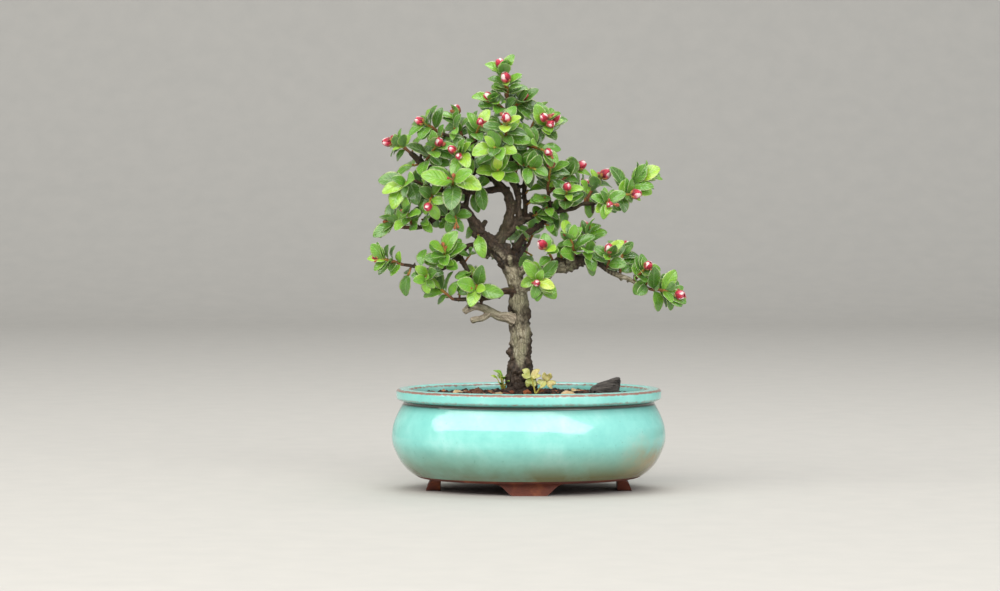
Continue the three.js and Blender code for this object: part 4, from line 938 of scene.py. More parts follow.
# [limb, share of its length, tip, leaves, leaf length, buds]
shoots = {
    "apex": ["leader_right", 1, [-12, -1, 192], 8, 11, 1],
    "apex_front": ["leader_right", 0.97, [-10, -6, 186], 5, 10, 1],
    "apex_left": ["leader_right", 0.9, [-17, -3, 177.5], 5, 10.5, 1],
    "apex_right": ["leader_right", 0.9, [-2.5, -1, 177.5], 5, 11, 1],
    "apex_back": ["leader_right", 0.88, [-7, 10, 177], 5, 11, 0],
    "crown_bud_left": ["crown_left", 0.62, [-33, 4, 171.5], 5, 11.5, 1],
    "crown_bud_mid": ["crown_front", 1, [-10, -18, 168], 5, 12, 1],
    "crown_bud_far": ["crown_left", 1, [-48, -6, 167], 6, 11.5, 1],
    "crown_bud_inner": ["crown_left", 0.45, [-22, -13, 166.5], 5, 12.5, 1],
    "crown_trio": ["crown_right", 1, [8.5, -9, 167], 8, 11.5, 3],
    "crown_trio_back": ["crown_right", 0.55, [3, 9, 169], 5, 12, 0],
    "stub_tip": ["left_stub", 1, [-60, 3, 158], 6, 9, 2],
    "stub_side": ["left_stub", 0.75, [-41, -9, 157.5], 5, 12, 1],
    "upright_pair": ["left_upright", 0.72, [-32, -13, 153], 5, 12.5, 2],
    "upright_back": ["left_upright", 1, [-27, 10, 166], 6, 12, 0],
    "right_shoulder": ["crown_right", 0.45, [8, -14, 154], 5, 13, 1],
    "star": ["leader_right", 0.55, [3, -17, 146], 6, 11, 0],
    "front_bright": ["leader_left", 0.8, [-14, -16, 146], 5, 12, 0],
    "front_low_crown": ["crown_front", 0.5, [-16, -20, 156], 5, 12.5, 0],
    "spur_top": ["mid_right_spur", 1, [10, -5, 147], 5, 11, 1],
    "right_high": ["mid_right_spur", 0.9, [22.5, 5, 146.5], 5, 11, 1],
    "right_mid_bud": ["mid_right", 0.6, [17.5, -9, 137], 5, 10, 1],
    "right_upper_bud": ["mid_right", 0.76, [32, 5, 141], 5, 11, 2],
    "right_under_bud": ["mid_right", 0.92, [36.5, -10, 130.5], 5, 10, 1],
    "right_bud_tip": ["mid_right", 1, [47, -4, 134.5], 5, 11, 1],
    "right_long": ["mid_right", 0.97, [54, 2, 143], 6, 13, 0],
    "big_leaves": ["left_cross", 0.55, [-34, -19, 141.5], 3, 17, 0],
    "left_high": ["left_cross", 1, [-56, -10, 139], 5, 14, 0],
    "left_inner": ["left_cross", 0.75, [-45, -15, 130], 4, 11, 1],
    "reach_tip": ["left_reach", 1, [-63, -3, 122.5], 5, 11, 1],
    "reach_top": ["left_reach", 0.85, [-55, -12, 127], 5, 10.5, 0],
    "reach_hang": ["left_reach", 0.15, [-33, -12, 123], 3, 10, 0],
    "low_left_tip": ["low_left_arm", 1, [-68, -8, 105.5], 6, 9.5, 1],
    "low_left_top": ["low_left_arm", 0.3, [-38, -13, 109], 5, 13.5, 0],
    "low_left_under": ["low_left_arm", 0.6, [-46.5, -11, 96], 5, 11, 0],
    "low_left_hang": ["low_left", 1, [-24, -12, 92], 5, 12.5, 0],
    "low_spur_tip": ["low_spur", 1, [-40, -6, 91.5], 5, 11, 0],
    "trunk_front": ["low_right", 0.16, [4, -15, 95], 6, 11.5, 1],
    "low_right_inner": ["low_right", 0.3, [7, -17, 111], 5, 12, 1],
    "low_right_top": ["low_right", 0.45, [18, -12, 116], 5, 11.5, 0],
    "low_right_bud": ["low_right", 0.52, [26, -3, 118.5], 6, 11, 1],
    "low_right_outer": ["low_right", 0.68, [36.5, -15, 109], 5, 10.5, 1],
    "low_right_disc": ["low_right", 0.78, [43, -3, 109.5], 5, 10.5, 1],
    "low_right_bud_top": ["low_right", 0.88, [53, -13, 101.5], 5, 10, 1],
    "low_right_tip": ["low_right", 1, [65.5, -11, 90], 6, 11.5, 2],
    "back_crown": ["crown_back", 1, [-14, 27, 162], 6, 12, 1],
    "back_left": ["crown_back_left", 1, [-41, 20, 157], 6, 12, 1],
    "back_side": ["left_back", 1, [-52, 22, 137], 6, 12, 1],
    "back_right": ["right_back", 1, [25, 25, 138], 6, 12, 1],
    "back_low": ["back_low", 1, [3, 32, 117], 6, 12, 1],
}

feelers = np.array([[0.3, 0], [0.6, 0], [0.85, 0], [1, 0], [0.48, 1], [0.48, -1], [0.8, 0.7], [0.8, -0.7]])


def onLine(line, share):
    points = np.asarray(line, float)
    steps = np.linalg.norm(np.diff(points[:, :3], axis=0), axis=1)
    left, i = share * steps.sum(), 0
    while i < len(steps) - 1 and left > steps[i]:
        left -= steps[i]
        i += 1
    t = min(1, left / steps[i])
    at = points[i] + (points[i + 1] - points[i]) * t
    return at[:3], at[3], unit(points[i + 1][:3] - points[i][:3])


limbFeelers = [onLine(limb, i / 15) for limb in limbs.values() for i in range(16)]
limbPlaces = np.array([f[0] for f in limbFeelers])
limbRadii = np.array([f[1] for f in limbFeelers])


def bladeLift(length, u, w):
    return length * (leafShape["camber"] * np.sin(math.pi * u) + leafShape["fold"] * leafShape["widthShare"] * np.abs(w))


def onBlade(leaf, u, w):
    u, w = np.asarray(u, float)[..., None], np.asarray(w, float)[..., None]
    return (leaf["base"] + leaf["way"] * leaf["length"] * u + leaf["side"] * leaf["length"] * leafShape["widthShare"] * 0.5 * w
            + leaf["face"] * bladeLift(leaf["length"], u, w))


def leafAt(base, way, lookingTo, length):
    face = unit(lookingTo - way * lookingTo.dot(way))
    leaf = {"base": base, "way": way, "face": face, "side": np.cross(way, face), "length": length}
    leaf["middle"] = onBlade(leaf, 0.55, 0)
    leaf["points"] = onBlade(leaf, feelers[:, 0], feelers[:, 1])
    return leaf


def placeLeaf(line, share, turn, spread, length):
    base, _, along = onLine(line, share)
    side = perpendicular(along)
    out = side * math.cos(turn) + np.cross(side, along) * math.sin(turn)
    way = unit(along * math.cos(spread) + out * math.sin(spread) + np.array([0, 0, 0.12]))
    face = (along * math.sin(spread) - out * math.cos(spread)) * 0.55 + np.array([0, -0.28, 0.62])
    return leafAt(base, way, face, length)


def roomOver(points, leaf):
    d = points - leaf["base"]
    u = d @ leaf["way"] / leaf["length"]
    w = d @ leaf["side"] / (leaf["length"] * leafShape["widthShare"] * 0.5)
    over = (u > 0.05) & (u < 1.1) & (np.abs(w) < 1.25)
    if not over.any():
        return leafShape["clear"]
    heights = (d @ leaf["face"] - bladeLift(leaf["length"], u, w))[over]
    through = heights.min() < 0 < heights.max()
    return -1 if through else min(leafShape["clear"], np.abs(heights).min())


def roomFor(leaf, taken):
    room = leafShape["clear"]
    for other in taken["leaves"]:
        if np.linalg.norm(other["middle"] - leaf["middle"]) <= 14:
            room = min(room, roomOver(leaf["points"], other), roomOver(other["points"], leaf))
    for p in leaf["points"]:
        room = min(room, (np.linalg.norm(limbPlaces - p, axis=1) - limbRadii).min() - 0.4)
        for bud in taken["buds"]:
            room = min(room, np.linalg.norm(p - bud["centre"]) - bud["radius"])
    return room


def layShoot(row, seed, taken):
    limbName, share, tip, leafCount, leafLength, budCount = row
    draw = streamFrom(seed)
    at, radius, along = onLine(limbs[limbName], share)
    end = np.array(tip, float)
    way = unit(end - at)
    start = at + along * (0.35 * radius + 0.3) if share == 1 else at + way * radius * 0.6
    bow = perpendicular(way) * (draw() - 0.5) * 2
    bow[2] += np.linalg.norm(end - start) * 0.08
    middle = (start + end) / 2 + bow
    bowed = lambda t: [*(start * (1 - t) ** 2 + middle * 2 * t * (1 - t) + end * t * t), 0.65 - 0.23 * t]
    line = [bowed(t) for t in (0, 0.5, 1)]
    buds = []
    for i in range(budCount):
        turn = i / budCount * 2 * math.pi + draw()
        _, _, along = onLine(line, 1)
        side = perpendicular(along)
        lean = 0.85 if budCount > 1 else 0.25
        budWay = unit(along + side * lean * math.cos(turn) + np.cross(side, along) * lean * math.sin(turn))
        size = leafShape["budRadius"] * (0.85 + 0.25 * draw())
        buds.append({"way": budWay, "radius": size, "centre": end + budWay * size * (1.9 if budCount > 1 else 0.85), "from": end})
    taken["buds"] += buds
    leaves = []
    firstTurn = draw() * 2 * math.pi
    for i in range(leafCount):
        u = (i + 0.5) / leafCount
        share = 0.3 + (0.58 if budCount else 0.68) * u**0.8
        length = leafLength * (0.72 + 0.36 * draw()) * (1 - 0.25 * u**3)
        spread = 1.35 - 0.75 * u + 0.3 * (draw() - 0.5)
        best, bestRoom = None, None
        for k in range(leafShape["tries"]):
            turn = firstTurn + leafShape["golden"] * i + (0.4 if k % 2 else -0.4) * math.ceil(k / 2)
            leaf = placeLeaf(line, share, turn, spread + (0, 0.3, -0.3)[k % 3], length)
            room = roomFor(leaf, taken)
            if best is None or room > bestRoom + 1e-6:
                best, bestRoom = leaf, room
            if room >= leafShape["clear"]:
                break
        best["age"] = 1 - u
        leaves.append(best)
        taken["leaves"].append(best)
    curve = [bowed(t) for t in np.linspace(0, 1, 13)]
    return {"line": line, "curve": curve, "leaves": leaves, "buds": buds, "share": row[1], "limb": limbName}


# Large leaves that stand out at the tips: [shoot, share of its twig, way, side it looks to, length, age]
standOut = [
    ["right_long", 0.76, (0.84, -0.15, 0.5), (-0.2, -0.8, 0.5), 11.5, 0.15],
    ["right_long", 0.55, (0.95, -0.25, -0.05), (0.1, -0.75, 0.6), 11.0, 0.55],
    ["right_long", 0.6, (0.55, -0.3, 0.8), (-0.4, -0.8, 0.1), 11.0, 0.35],
    ["low_right_tip", 0.6, (0.8, -0.25, -0.45), (0.2, -0.8, 0.5), 11.5, 0.35],
    ["low_right_tip", 0.7, (0.6, -0.3, -0.6), (0.3, -0.8, 0.4), 10.0, 0.2],
    ["reach_tip", 0.8, (-0.7, -0.35, -0.5), (-0.2, -0.85, 0.4), 11.5, 0.4],
    ["low_left_tip", 0.6, (-0.97, -0.1, 0.14), (0.0, -0.55, 0.85), 9.5, 0.0],
    ["low_left_tip", 0.75, (-0.6, -0.2, 0.7), (-0.3, -0.8, 0.2), 9.5, 0.05],
    ["apex", 0.9, (0.5, -0.2, 0.75), (-0.3, -0.8, 0.3), 9.0, 0.3],
    ["apex", 0.75, (-0.75, -0.2, 0.5), (0.2, -0.8, 0.5), 10.0, 0.35],
    ["apex_right", 0.85, (0.7, -0.3, 0.55), (-0.2, -0.8, 0.4), 10.0, 0.5],
    ["apex_left", 0.9, (-0.9, -0.2, 0.2), (0.0, -0.7, 0.7), 10.0, 0.4],
]


def inWindow(middle):
    # The gaps between the lower limbs through which the background shows stay open
    x, z = middle[0], middle[2]
    return any(left < x < right and low < z < high for left, right, low, high in leafShape["windows"])


def outOfCrown(point):
    # Where the upper sides of the further leaves look
    return np.array([point[0] * 0.4, point[1] * 1.6 - 6, 0]) / 30


def addSmallLeaves(shoot, seed, taken):
    # Small leaves in the gaps that are left, where a blade has room
    draw = streamFrom(seed + 400)
    biggest = max(leaf["length"] for leaf in shoot["leaves"])
    for _ in range(round(len(shoot["leaves"]) * leafShape["extra"])):
        share = 0.05 + 0.92 * draw()
        length = biggest * (0.64 + 0.44 * draw()) * (1 - 0.15 * share)
        spread = 1.35 - 0.8 * share
        turn = draw() * 2 * math.pi
        for k in range(12):
            base = onLine(shoot["line"], share)[0]
            leaf = placeLeaf(shoot["line"], share, turn + k * 0.53, spread + (0, 0.35, -0.3)[k % 3], length * (1 if k < 7 else 0.8))
            leaf = leafAt(base, leaf["way"], outOfCrown(base) + np.array([0.3 * (draw() - 0.5), -0.55, 0.55]), leaf["length"])
            if not inWindow(leaf["middle"]) and roomFor(leaf, taken) > leafShape["smallestGap"]:
                leaf["age"] = 0.1 + 0.75 * draw()
                shoot["leaves"].append(leaf)
                taken["leaves"].append(leaf)
                break


def addSpurLeaves(taken):
    # Leaves that stand on short spurs along the limbs of the crown
    draw = streamFrom(811)
    spurs = []
    for name, limb in limbs.items():
        if name.startswith(("root", "trunk", "snag")):
            continue
        length = np.linalg.norm(np.diff(np.array(limb)[:, :3], axis=0), axis=1).sum()
        for _ in range(int(length / leafShape["spurSpacing"])):
            share = 0.18 + 0.8 * draw()
            at, radius, along = onLine(limb, share)
            side = perpendicular(along)
            turn = draw() * 2 * math.pi
            out = side * math.cos(turn) + np.cross(side, along) * math.sin(turn) + np.array([0, -0.1, 0.35])
            if name in ("low_right", "low_spur", "low_left"):
                out[2] = abs(out[2]) + 0.5
            out = unit(out)
            foot = at + out * radius * 0.7
            end = foot + out * (1.6 + 2.6 * draw())
            leaves = []
            for k in range(14):
                around = unit(out * 0.5 + side * math.cos(k * 2.4 + turn) + np.cross(side, along) * math.sin(k * 2.4 + turn) * 0.9)
                look = outOfCrown(at) + np.array([0.4 * (draw() - 0.5), -0.5, 0.55])
                leaf = leafAt(end, around, look, 6.5 + 5.5 * draw())
                if len(leaves) < leafShape["spurLeaves"] and not inWindow(leaf["middle"]) and roomFor(leaf, taken) > 0.18:
                    leaf["age"] = 0.35 + 0.65 * draw()
                    leaves.append(leaf)
                    taken["leaves"].append(leaf)
            if leaves:
                curve = [[*(foot + (end - foot) * t), 0.5 - 0.12 * t] for t in np.linspace(0, 1, 5)]
                spurs.append({"line": curve, "curve": curve, "leaves": leaves, "buds": [], "share": 0.5})
    return spurs


# Finishes of the leaves, buds and twigs

leafFinish = {
    "ramp": [(0.0, "#214410"), (0.2, "#336617"), (0.42, "#538D1E"), (0.64, "#77AF2A"), (0.85, "#A0C837"), (1.0, "#C6D952")],
    "under": "#8CAF72",
    "margin": "#C9D79A",
    "vein": "#A9C878",
    "pairs": 7.0,  # side veins on each half
}


def livingLeaf(name, ramp):
    # A live leaf: waxy above with sunk veins and a pale margin, downy and pale below, light comes through it
    material, tree = newMaterial(name)
    spot = addNode(tree, "Attribute", attribute_name="leafPlace").outputs["Vector"]
    tone = addNode(tree, "Attribute", attribute_name="leafTone").outputs["Fac"]
    under = addNode(tree, "Attribute", attribute_name="underside").outputs["Fac"]
    drawn = addNode(tree, "Attribute", attribute_name="drawn").outputs["Vector"]
    parts = addNode(tree, "SeparateXYZ", {"Vector": spot}).outputs
    across = addNode(tree, "Math", {0: parts["Y"]}, operation="ABSOLUTE").outputs[0]
    cloud = addNode(tree, "TexNoise", {"Vector": drawn, "Scale": 0.28, "Detail": 4.0})
    drift = addNode(tree, "MapRange", {"Value": cloud.outputs["Fac"], "From Min": 0.3, "From Max": 0.7, "To Min": -0.09, "To Max": 0.09})
    toned = addNode(tree, "Math", {0: tone, 1: drift.outputs[0]}, operation="ADD", use_clamp=True)
    body = addNode(tree, "ValToRGB", {"Fac": toned.outputs[0]}, stops=ramp)
    midrib = addNode(tree, "MapRange", {"Value": across, "From Min": 0.02, "From Max": 0.07, "To Min": 0.85, "To Max": 0.0})
    run = addNode(tree, "Math", {0: parts["X"], 1: leafFinish["pairs"] * 1.0}, operation="MULTIPLY")
    lean = addNode(tree, "Math", {0: across, 1: -1.9, 2: run.outputs[0]}, operation="MULTIPLY_ADD")
    saw = addNode(tree, "Math", {0: lean.outputs[0], 1: 0.5}, operation="PINGPONG")
    side = addNode(tree, "MapRange", {"Value": saw.outputs[0], "From Min": 0.03, "From Max": 0.13, "To Min": 0.5, "To Max": 0.0})
    veins = addNode(tree, "Math", {0: midrib.outputs[0], 1: side.outputs[0]}, operation="MAXIMUM")
    between = addNode(tree, "MapRange", {"Value": saw.outputs[0], "From Min": 0.1, "From Max": 0.5, "To Min": 0.0, "To Max": 0.35})
    paler = addNode(tree, "Mix", {0: 0.25, 6: body.outputs[0], 7: colour("#DCE98A")}, data_type="RGBA").outputs[2]
    bright = addNode(tree, "Mix", {0: between.outputs[0], 6: body.outputs[0], 7: paler}, data_type="RGBA").outputs[2]
    veinShade = addNode(tree, "Mix", {0: 0.55, 6: body.outputs[0], 7: colour(leafFinish["vein"])}, data_type="RGBA").outputs[2]
    veined = addNode(tree, "Mix", {0: veins.outputs[0], 6: bright, 7: veinShade}, data_type="RGBA").outputs[2]
    margin = addNode(tree, "MapRange", {"Value": across, "From Min": 0.82, "From Max": 0.96, "To Min": 0.0, "To Max": 0.85})
    edged = addNode(tree, "Mix", {0: margin.outputs[0], 6: veined, 7: colour(leafFinish["margin"])}, data_type="RGBA").outputs[2]
    downy = addNode(tree, "Mix", {0: 0.62, 6: edged, 7: colour(leafFinish["under"])}, data_type="RGBA").outputs[2]
    final = addNode(tree, "Mix", {0: under, 6: edged, 7: downy}, data_type="RGBA").outputs[2]
    relief = addNode(tree, "Math", {0: between.outputs[0], 1: veins.outputs[0]}, operation="SUBTRACT")
    bump = addNode(tree, "Bump", {"Height": relief.outputs[0], "Strength": 0.55, "Distance": 0.0003})
    gloss = addNode(tree, "MapRange", {"Value": under, "To Min": 0.3, "To Max": 0.7})
    shader = addNode(tree, "BsdfPrincipled", {"Base Color": final, "Roughness": gloss.outputs[0], "IOR": 1.47,
                                              "Coat Weight": 0.5, "Coat Roughness": 0.12,
                                              "Subsurface Weight": 0.22, "Subsurface Radius": (0.6, 1.0, 0.2), "Subsurface Scale": 0.0012,
                                              "Normal": bump.outputs[0]})
    addNode(tree, "OutputMaterial", {"Surface": shader.outputs[0]})
    return material


def youngBark():
    # Bark of this year's shoots: smooth and red brown, green and a little downy toward the tip
    material, tree = newMaterial("shoot_bark_grown")
    drawn = addNode(tree, "Attribute", attribute_name="drawn").outputs["Vector"]
    young = addNode(tree, "Attribute", attribute_name="leafTone").outputs["Fac"]
    fine = addNode(tree, "TexNoise", {"Vector": drawn, "Scale": 1.4, "Detail": 5.0})
    mixed = addNode(tree, "Math", {0: fine.outputs["Fac"], 1: 0.35, 2: young}, operation="MULTIPLY_ADD", use_clamp=True)
    shade = addNode(tree, "ValToRGB", {"Fac": mixed.outputs[0]},
                    stops=[(0.1, "#3A2218"), (0.4, "#6B4226"), (0.7, "#A06A30"), (1.0, "#A39A3E")])
    bump = addNode(tree, "Bump", {"Height": fine.outputs["Fac"], "Strength": 0.4, "Distance": 0.0002})
    shader = addNode(tree, "BsdfPrincipled", {"Base Color": shade.outputs[0], "Roughness": 0.6, "IOR": 1.45,
                                              "Normal": bump.outputs[0]})
    addNode(tree, "OutputMaterial", {"Surface": shader.outputs[0]})
    return material


def petal():
    # Closed petals: satin, deep rose at the base and pale at the overlapping tips, finely streaked
    material, tree = newMaterial("petal_grown")
    spot = addNode(tree, "Attribute", attribute_name="leafPlace").outputs["Vector"]
    drawn = addNode(tree, "Attribute", attribute_name="drawn").outputs["Vector"]
    parts = addNode(tree, "SeparateXYZ", {"Vector": spot}).outputs
    fine = addNode(tree, "TexNoise", {"Vector": drawn, "Scale": 0.7, "Detail": 4.0})
    streak = addNode(tree, "TexNoise", {"Vector": addNode(tree, "Mapping", {"Vector": spot, "Scale": (1.5, 14.0, 1.0)}).outputs[0],
                                        "Scale": 1.0, "Detail": 2.0})
    sway = addNode(tree, "Math", {0: fine.outputs["Fac"], 1: 0.35, 2: -0.17}, operation="MULTIPLY_ADD")
    own = addNode(tree, "Math", {0: parts["Z"], 1: 0.5, 2: sway.outputs[0]}, operation="MULTIPLY_ADD")
    share = addNode(tree, "Math", {0: parts["X"], 1: own.outputs[0]}, operation="ADD", use_clamp=True)
    shade = addNode(tree, "ValToRGB", {"Fac": share.outputs[0]},
                    stops=[(0.0, "#6E0F22"), (0.35, "#A8162F"), (0.62, "#C42C46"), (0.8, "#DC6678"), (0.92, "#ECB0B4"), (1.0, "#F7DAD6")])
    lines = addNode(tree, "MapRange", {"Value": streak.outputs["Fac"], "From Min": 0.45, "From Max": 0.7, "To Min": 0.0, "To Max": 0.25})
    final = addNode(tree, "Mix", {0: lines.outputs[0], 6: shade.outputs[0], 7: colour("#A81E38")}, data_type="RGBA").outputs[2]
    shader = addNode(tree, "BsdfPrincipled", {"Base Color": final, "Roughness": 0.45, "IOR": 1.4, "Sheen Weight": 0.15,
                                              "Subsurface Weight": 0.25, "Subsurface Radius": (1.0, 0.4, 0.4), "Subsurface Scale": 0.0012})
    addNode(tree, "OutputMaterial", {"Surface": shader.outputs[0]})
    return material


def sepal():
    # The cup that holds a bud: downy, tan green with red edges
    material, tree = newMaterial("sepal_grown")
    spot = addNode(tree, "Attribute", attribute_name="leafPlace").outputs["Vector"]
    drawn = addNode(tree, "Attribute", attribute_name="drawn").outputs["Vector"]
    parts = addNode(tree, "SeparateXYZ", {"Vector": spot}).outputs
    fine = addNode(tree, "TexNoise", {"Vector": drawn, "Scale": 1.1, "Detail": 4.0})
    share = addNode(tree, "Math", {0: parts["X"], 1: fine.outputs["Fac"]}, operation="MULTIPLY", use_clamp=True)
    shade = addNode(tree, "ValToRGB", {"Fac": share.outputs[0]}, stops=[(0.0, "#8A7A3A"), (0.3, "#B5763A"), (0.6, "#96402C")])
    shader = addNode(tree, "BsdfPrincipled", {"Base Color": shade.outputs[0], "Roughness": 0.65, "Sheen Weight": 0.2})
    addNode(tree, "OutputMaterial", {"Surface": shader.outputs[0]})
    return material


shootFinishes = [livingLeaf("cotoneaster_leaf_grown", leafFinish["ramp"]), youngBark(), petal(), sepal()]

# Shapes of the leaves and buds

bladeRows = np.array([0, 0.06, 0.11, 0.15, 0.2, 0.27, 0.35, 0.43, 0.52, 0.61, 0.7, 0.78, 0.85, 0.91, 0.96, 0.99])
bladeColumns = np.array([-1, -0.8, -0.5, -0.2, 0, 0.2, 0.5, 0.8, 1])


def bladeWidth(u, stalk):
    # Half width of an egg-shaped blade as a share of its widest, after a short stalk
    v = np.clip((u - 0.1) / 0.9, 0, 1)
    return np.maximum(np.sin(math.pi * v**0.94) ** 0.56 * (u > 0.1), stalk * (u < 0.16))


def sheetFaces(rows, columns):
    # Closed solid from an upper and a lower sheet that share their side edges, ending in a single point
    top = lambda r, c: r * columns + c
    low = lambda r, c: top(r, c) if c in (0, columns - 1) else rows * columns + r * (columns - 2) + c - 1
    tip = rows * columns + rows * (columns - 2)
    faces = []
    for r in range(rows - 1):
        for c in range(columns - 1):
            faces.append((top(r, c), top(r, c + 1), top(r + 1, c + 1), top(r + 1, c)))
            faces.append((low(r, c + 1), low(r, c), low(r + 1, c), low(r + 1, c + 1)))
    for c in range(columns - 1):
        faces.append((top(rows - 1, c), top(rows - 1, c + 1), tip))
        faces.append((low(rows - 1, c + 1), low(rows - 1, c), tip))
        faces.append((top(0, c + 1), top(0, c), low(0, c), low(0, c + 1)) if 0 < c < columns - 2 else
                     (top(0, c + 1), top(0, c), low(0, c + 1) if c == 0 else low(0, c)))
    return faces


def sheetPoints(upper, lower, tip):
    return np.concatenate([upper.reshape(-1, 3), lower[:, 1:-1].reshape(-1, 3), [tip]])


def lowerShare(u):
    # 1 on the lower sheet
    return np.concatenate([np.zeros(u.size), np.ones(u[:, 1:-1].size), [0]])


bladeFaces = sheetFaces(len(bladeRows), len(bladeColumns))


def addBlade(pile, leaf, draw, tone):
    length = leaf["length"]
    u, w = np.meshgrid(bladeRows, bladeColumns, indexing="ij")
    width = bladeWidth(u, 0.55 / length / leafShape["widthShare"] * 2)
    half = length * leafShape["widthShare"] * 0.5 * (1.0 + 0.26 * draw())
    wave, curl, twist, bend = draw() * 6, 0.02 + 0.1 * draw(), (draw() - 0.5) * 0.5, (draw() - 0.5) * 0.12
    lift = bladeLift(length, u, w * width) * (0.7 + 0.6 * draw())
    lift = lift + length * (0.014 * np.abs(w) ** 2 * np.sin(u * 17 + wave + (w > 0) * 1.3) - curl * u**3.5 + twist * 0.12 * w * width * u)
    vein = length * 0.006 * np.cos((u * leafFinish["pairs"] - np.abs(w) * 1.9) * 2 * math.pi) * (1 - w * w) * (width > 0.3)
    lift = lift - vein - length * 0.012 * np.exp(-((w / 0.12) ** 2)) * (u > 0.15)
    shift = half * w * width + bend * length * np.sin(math.pi * u)
    middle = (leaf["base"] + leaf["way"] * (length * u)[..., None] + leaf["side"] * shift[..., None] + leaf["face"] * lift[..., None])
    thick = np.where(u < 0.14, 0.42, 0.2 + 0.24 * np.exp(-((w / 0.14) ** 2)) * (1 - 0.6 * u))[..., None] * (1 - w * w)[..., None]
    upper, lower = middle + leaf["face"] * thick * 0.45, middle - leaf["face"] * thick * 0.55
    tipLift = bladeLift(length, 1, 0) - curl * length
    tip = leaf["base"] + leaf["way"] * length + leaf["face"] * tipLift
    points = sheetPoints(upper, lower, tip)
    places = np.stack([u, w, np.full_like(u, draw())], -1)
    places = sheetPoints(places, places, [1, 0, 0])
    shares = {"leafPlace": places, "underside": lowerShare(u), "leafTone": np.full(len(points), tone)}
    pile.add(points, bladeFaces, 0, **shares, drawn=points)


def shellShape(centre, way, turn, radius, rows, columns, outline):
    # A curved scale of a bud; outline(rowShare, columnShare) gives [turn, share of height, distance from the axis]
    side = perpendicular(way)
    up = np.cross(side, way)
    b, a = np.meshgrid(rows, columns, indexing="ij")
    angle, rise, reach = outline(b, a)
    angle = angle + turn
    out = np.cos(angle)[..., None] * side + np.sin(angle)[..., None] * up
    middle = centre + way * ((rise * 2.3 - 1.15) * radius)[..., None] + out * (reach * radius)[..., None]
    thick = (0.07 * (1 - a * a) + 0.012)[..., None] * radius
    upper, lower = middle + out * thick, middle - out * thick
    angle, rise, reach = outline(np.array(1.0), np.array(0.0))
    out = math.cos(angle + turn) * side + math.sin(angle + turn) * up
    tip = centre + way * (rise * 2.3 - 1.15) * radius + out * reach * radius
    points = sheetPoints(upper, lower, tip)
    places = np.stack([b, a, np.zeros_like(a)], -1)
    places = sheetPoints(places, places, [1, 0, 0])
    return points, {"leafPlace": places}


def budReach(h):
    # Distance of a closed bud's skin from its axis at a share of its height
    return np.sin(math.pi * (0.1 + 0.86 * np.clip(h, 0, 1)) ** 0.9) ** 0.62


petalRows, petalColumns = np.linspace(0, 0.97, 9), np.linspace(-1, 1, 9)
petalFaces = sheetFaces(9, 9)


def addStem(pile, line, radii, sides, number, tone):
    # A small tube with the values that the leaf and twig finishes read; the tone may change along it
    points, faces, along = tubeRings(line, radii, sides)
    tone = tone(along) if callable(tone) else tone
    pile.add(points, faces, number, leafPlace=np.zeros((len(points), 3)), underside=0.0, leafTone=tone, drawn=points)


def addBud(pile, bud, draw):
    centre, way, radius = bud["centre"], bud["way"], bud["radius"]
    opening, spin = 0.01 + 0.05 * draw(), draw() * 6

    def petalOutline(b, a):
        spread = 0.98 * np.sin(math.pi * (0.16 + 0.6 * b)) ** 0.8
        top = 0.2 + 0.79 * b * (1 - 0.12 * a * a)
        reach = budReach(top) * 0.93 + 0.08 * a * (1 - b) + opening * b**3 * 1.4 + 0.02
        return a * spread + 0.55 * b, top + 0.02 * np.sin(a * 4 + spin), reach

    def sepalOutline(b, a):
        reach = budReach(0.04 + 0.42 * b) * (0.96 + 0.06 * b) + 0.06
        return a * 0.6 * (1 - b**1.6), 0.03 + 0.42 * b, reach

    for k in range(5):
        points, shares = shellShape(centre, way, spin + k * 2 * math.pi / 5, radius, petalRows, petalColumns, petalOutline)
        shares["leafPlace"][:, 2] = (0.72, -0.5, 0.32, -0.4, -0.62)[k]  # one or two petals of a bud are pale
        pile.add(points, petalFaces, 2, **shares, underside=0.0, leafTone=0.5, drawn=points)
        points, shares = shellShape(centre, way, spin + 0.6 + k * 2 * math.pi / 5, radius, petalRows, petalColumns, sepalOutline)
        pile.add(points, petalFaces, 3, **shares, underside=0.0, leafTone=0.5, drawn=points)
    heart = [centre + way * radius * t for t in (-1.0, -0.6, -0.1, 0.4, 0.75, 0.92)]
    points, faces, along = tubeRings(heart, [radius * r for r in (0.3, 0.74, 0.86, 0.72, 0.42, 0.12)], 14)
    places = np.stack([0.25 + 0.5 * along, 0 * along, 0 * along], 1)
    pile.add(points, faces, 2, leafPlace=places, underside=0.0, leafTone=0.5, drawn=points)
    stalk = smoothLine([[*bud["from"], 0.4], [*(bud["from"] * 0.4 + (centre - way * radius) * 0.6), 0.42],
                        [*(centre - way * radius * 1.08), 0.6], [*(centre - way * radius * 0.82), 0.95]], 0.3)
    addStem(pile, stalk[:, :3], stalk[:, 3], 10, 3, 0.8)


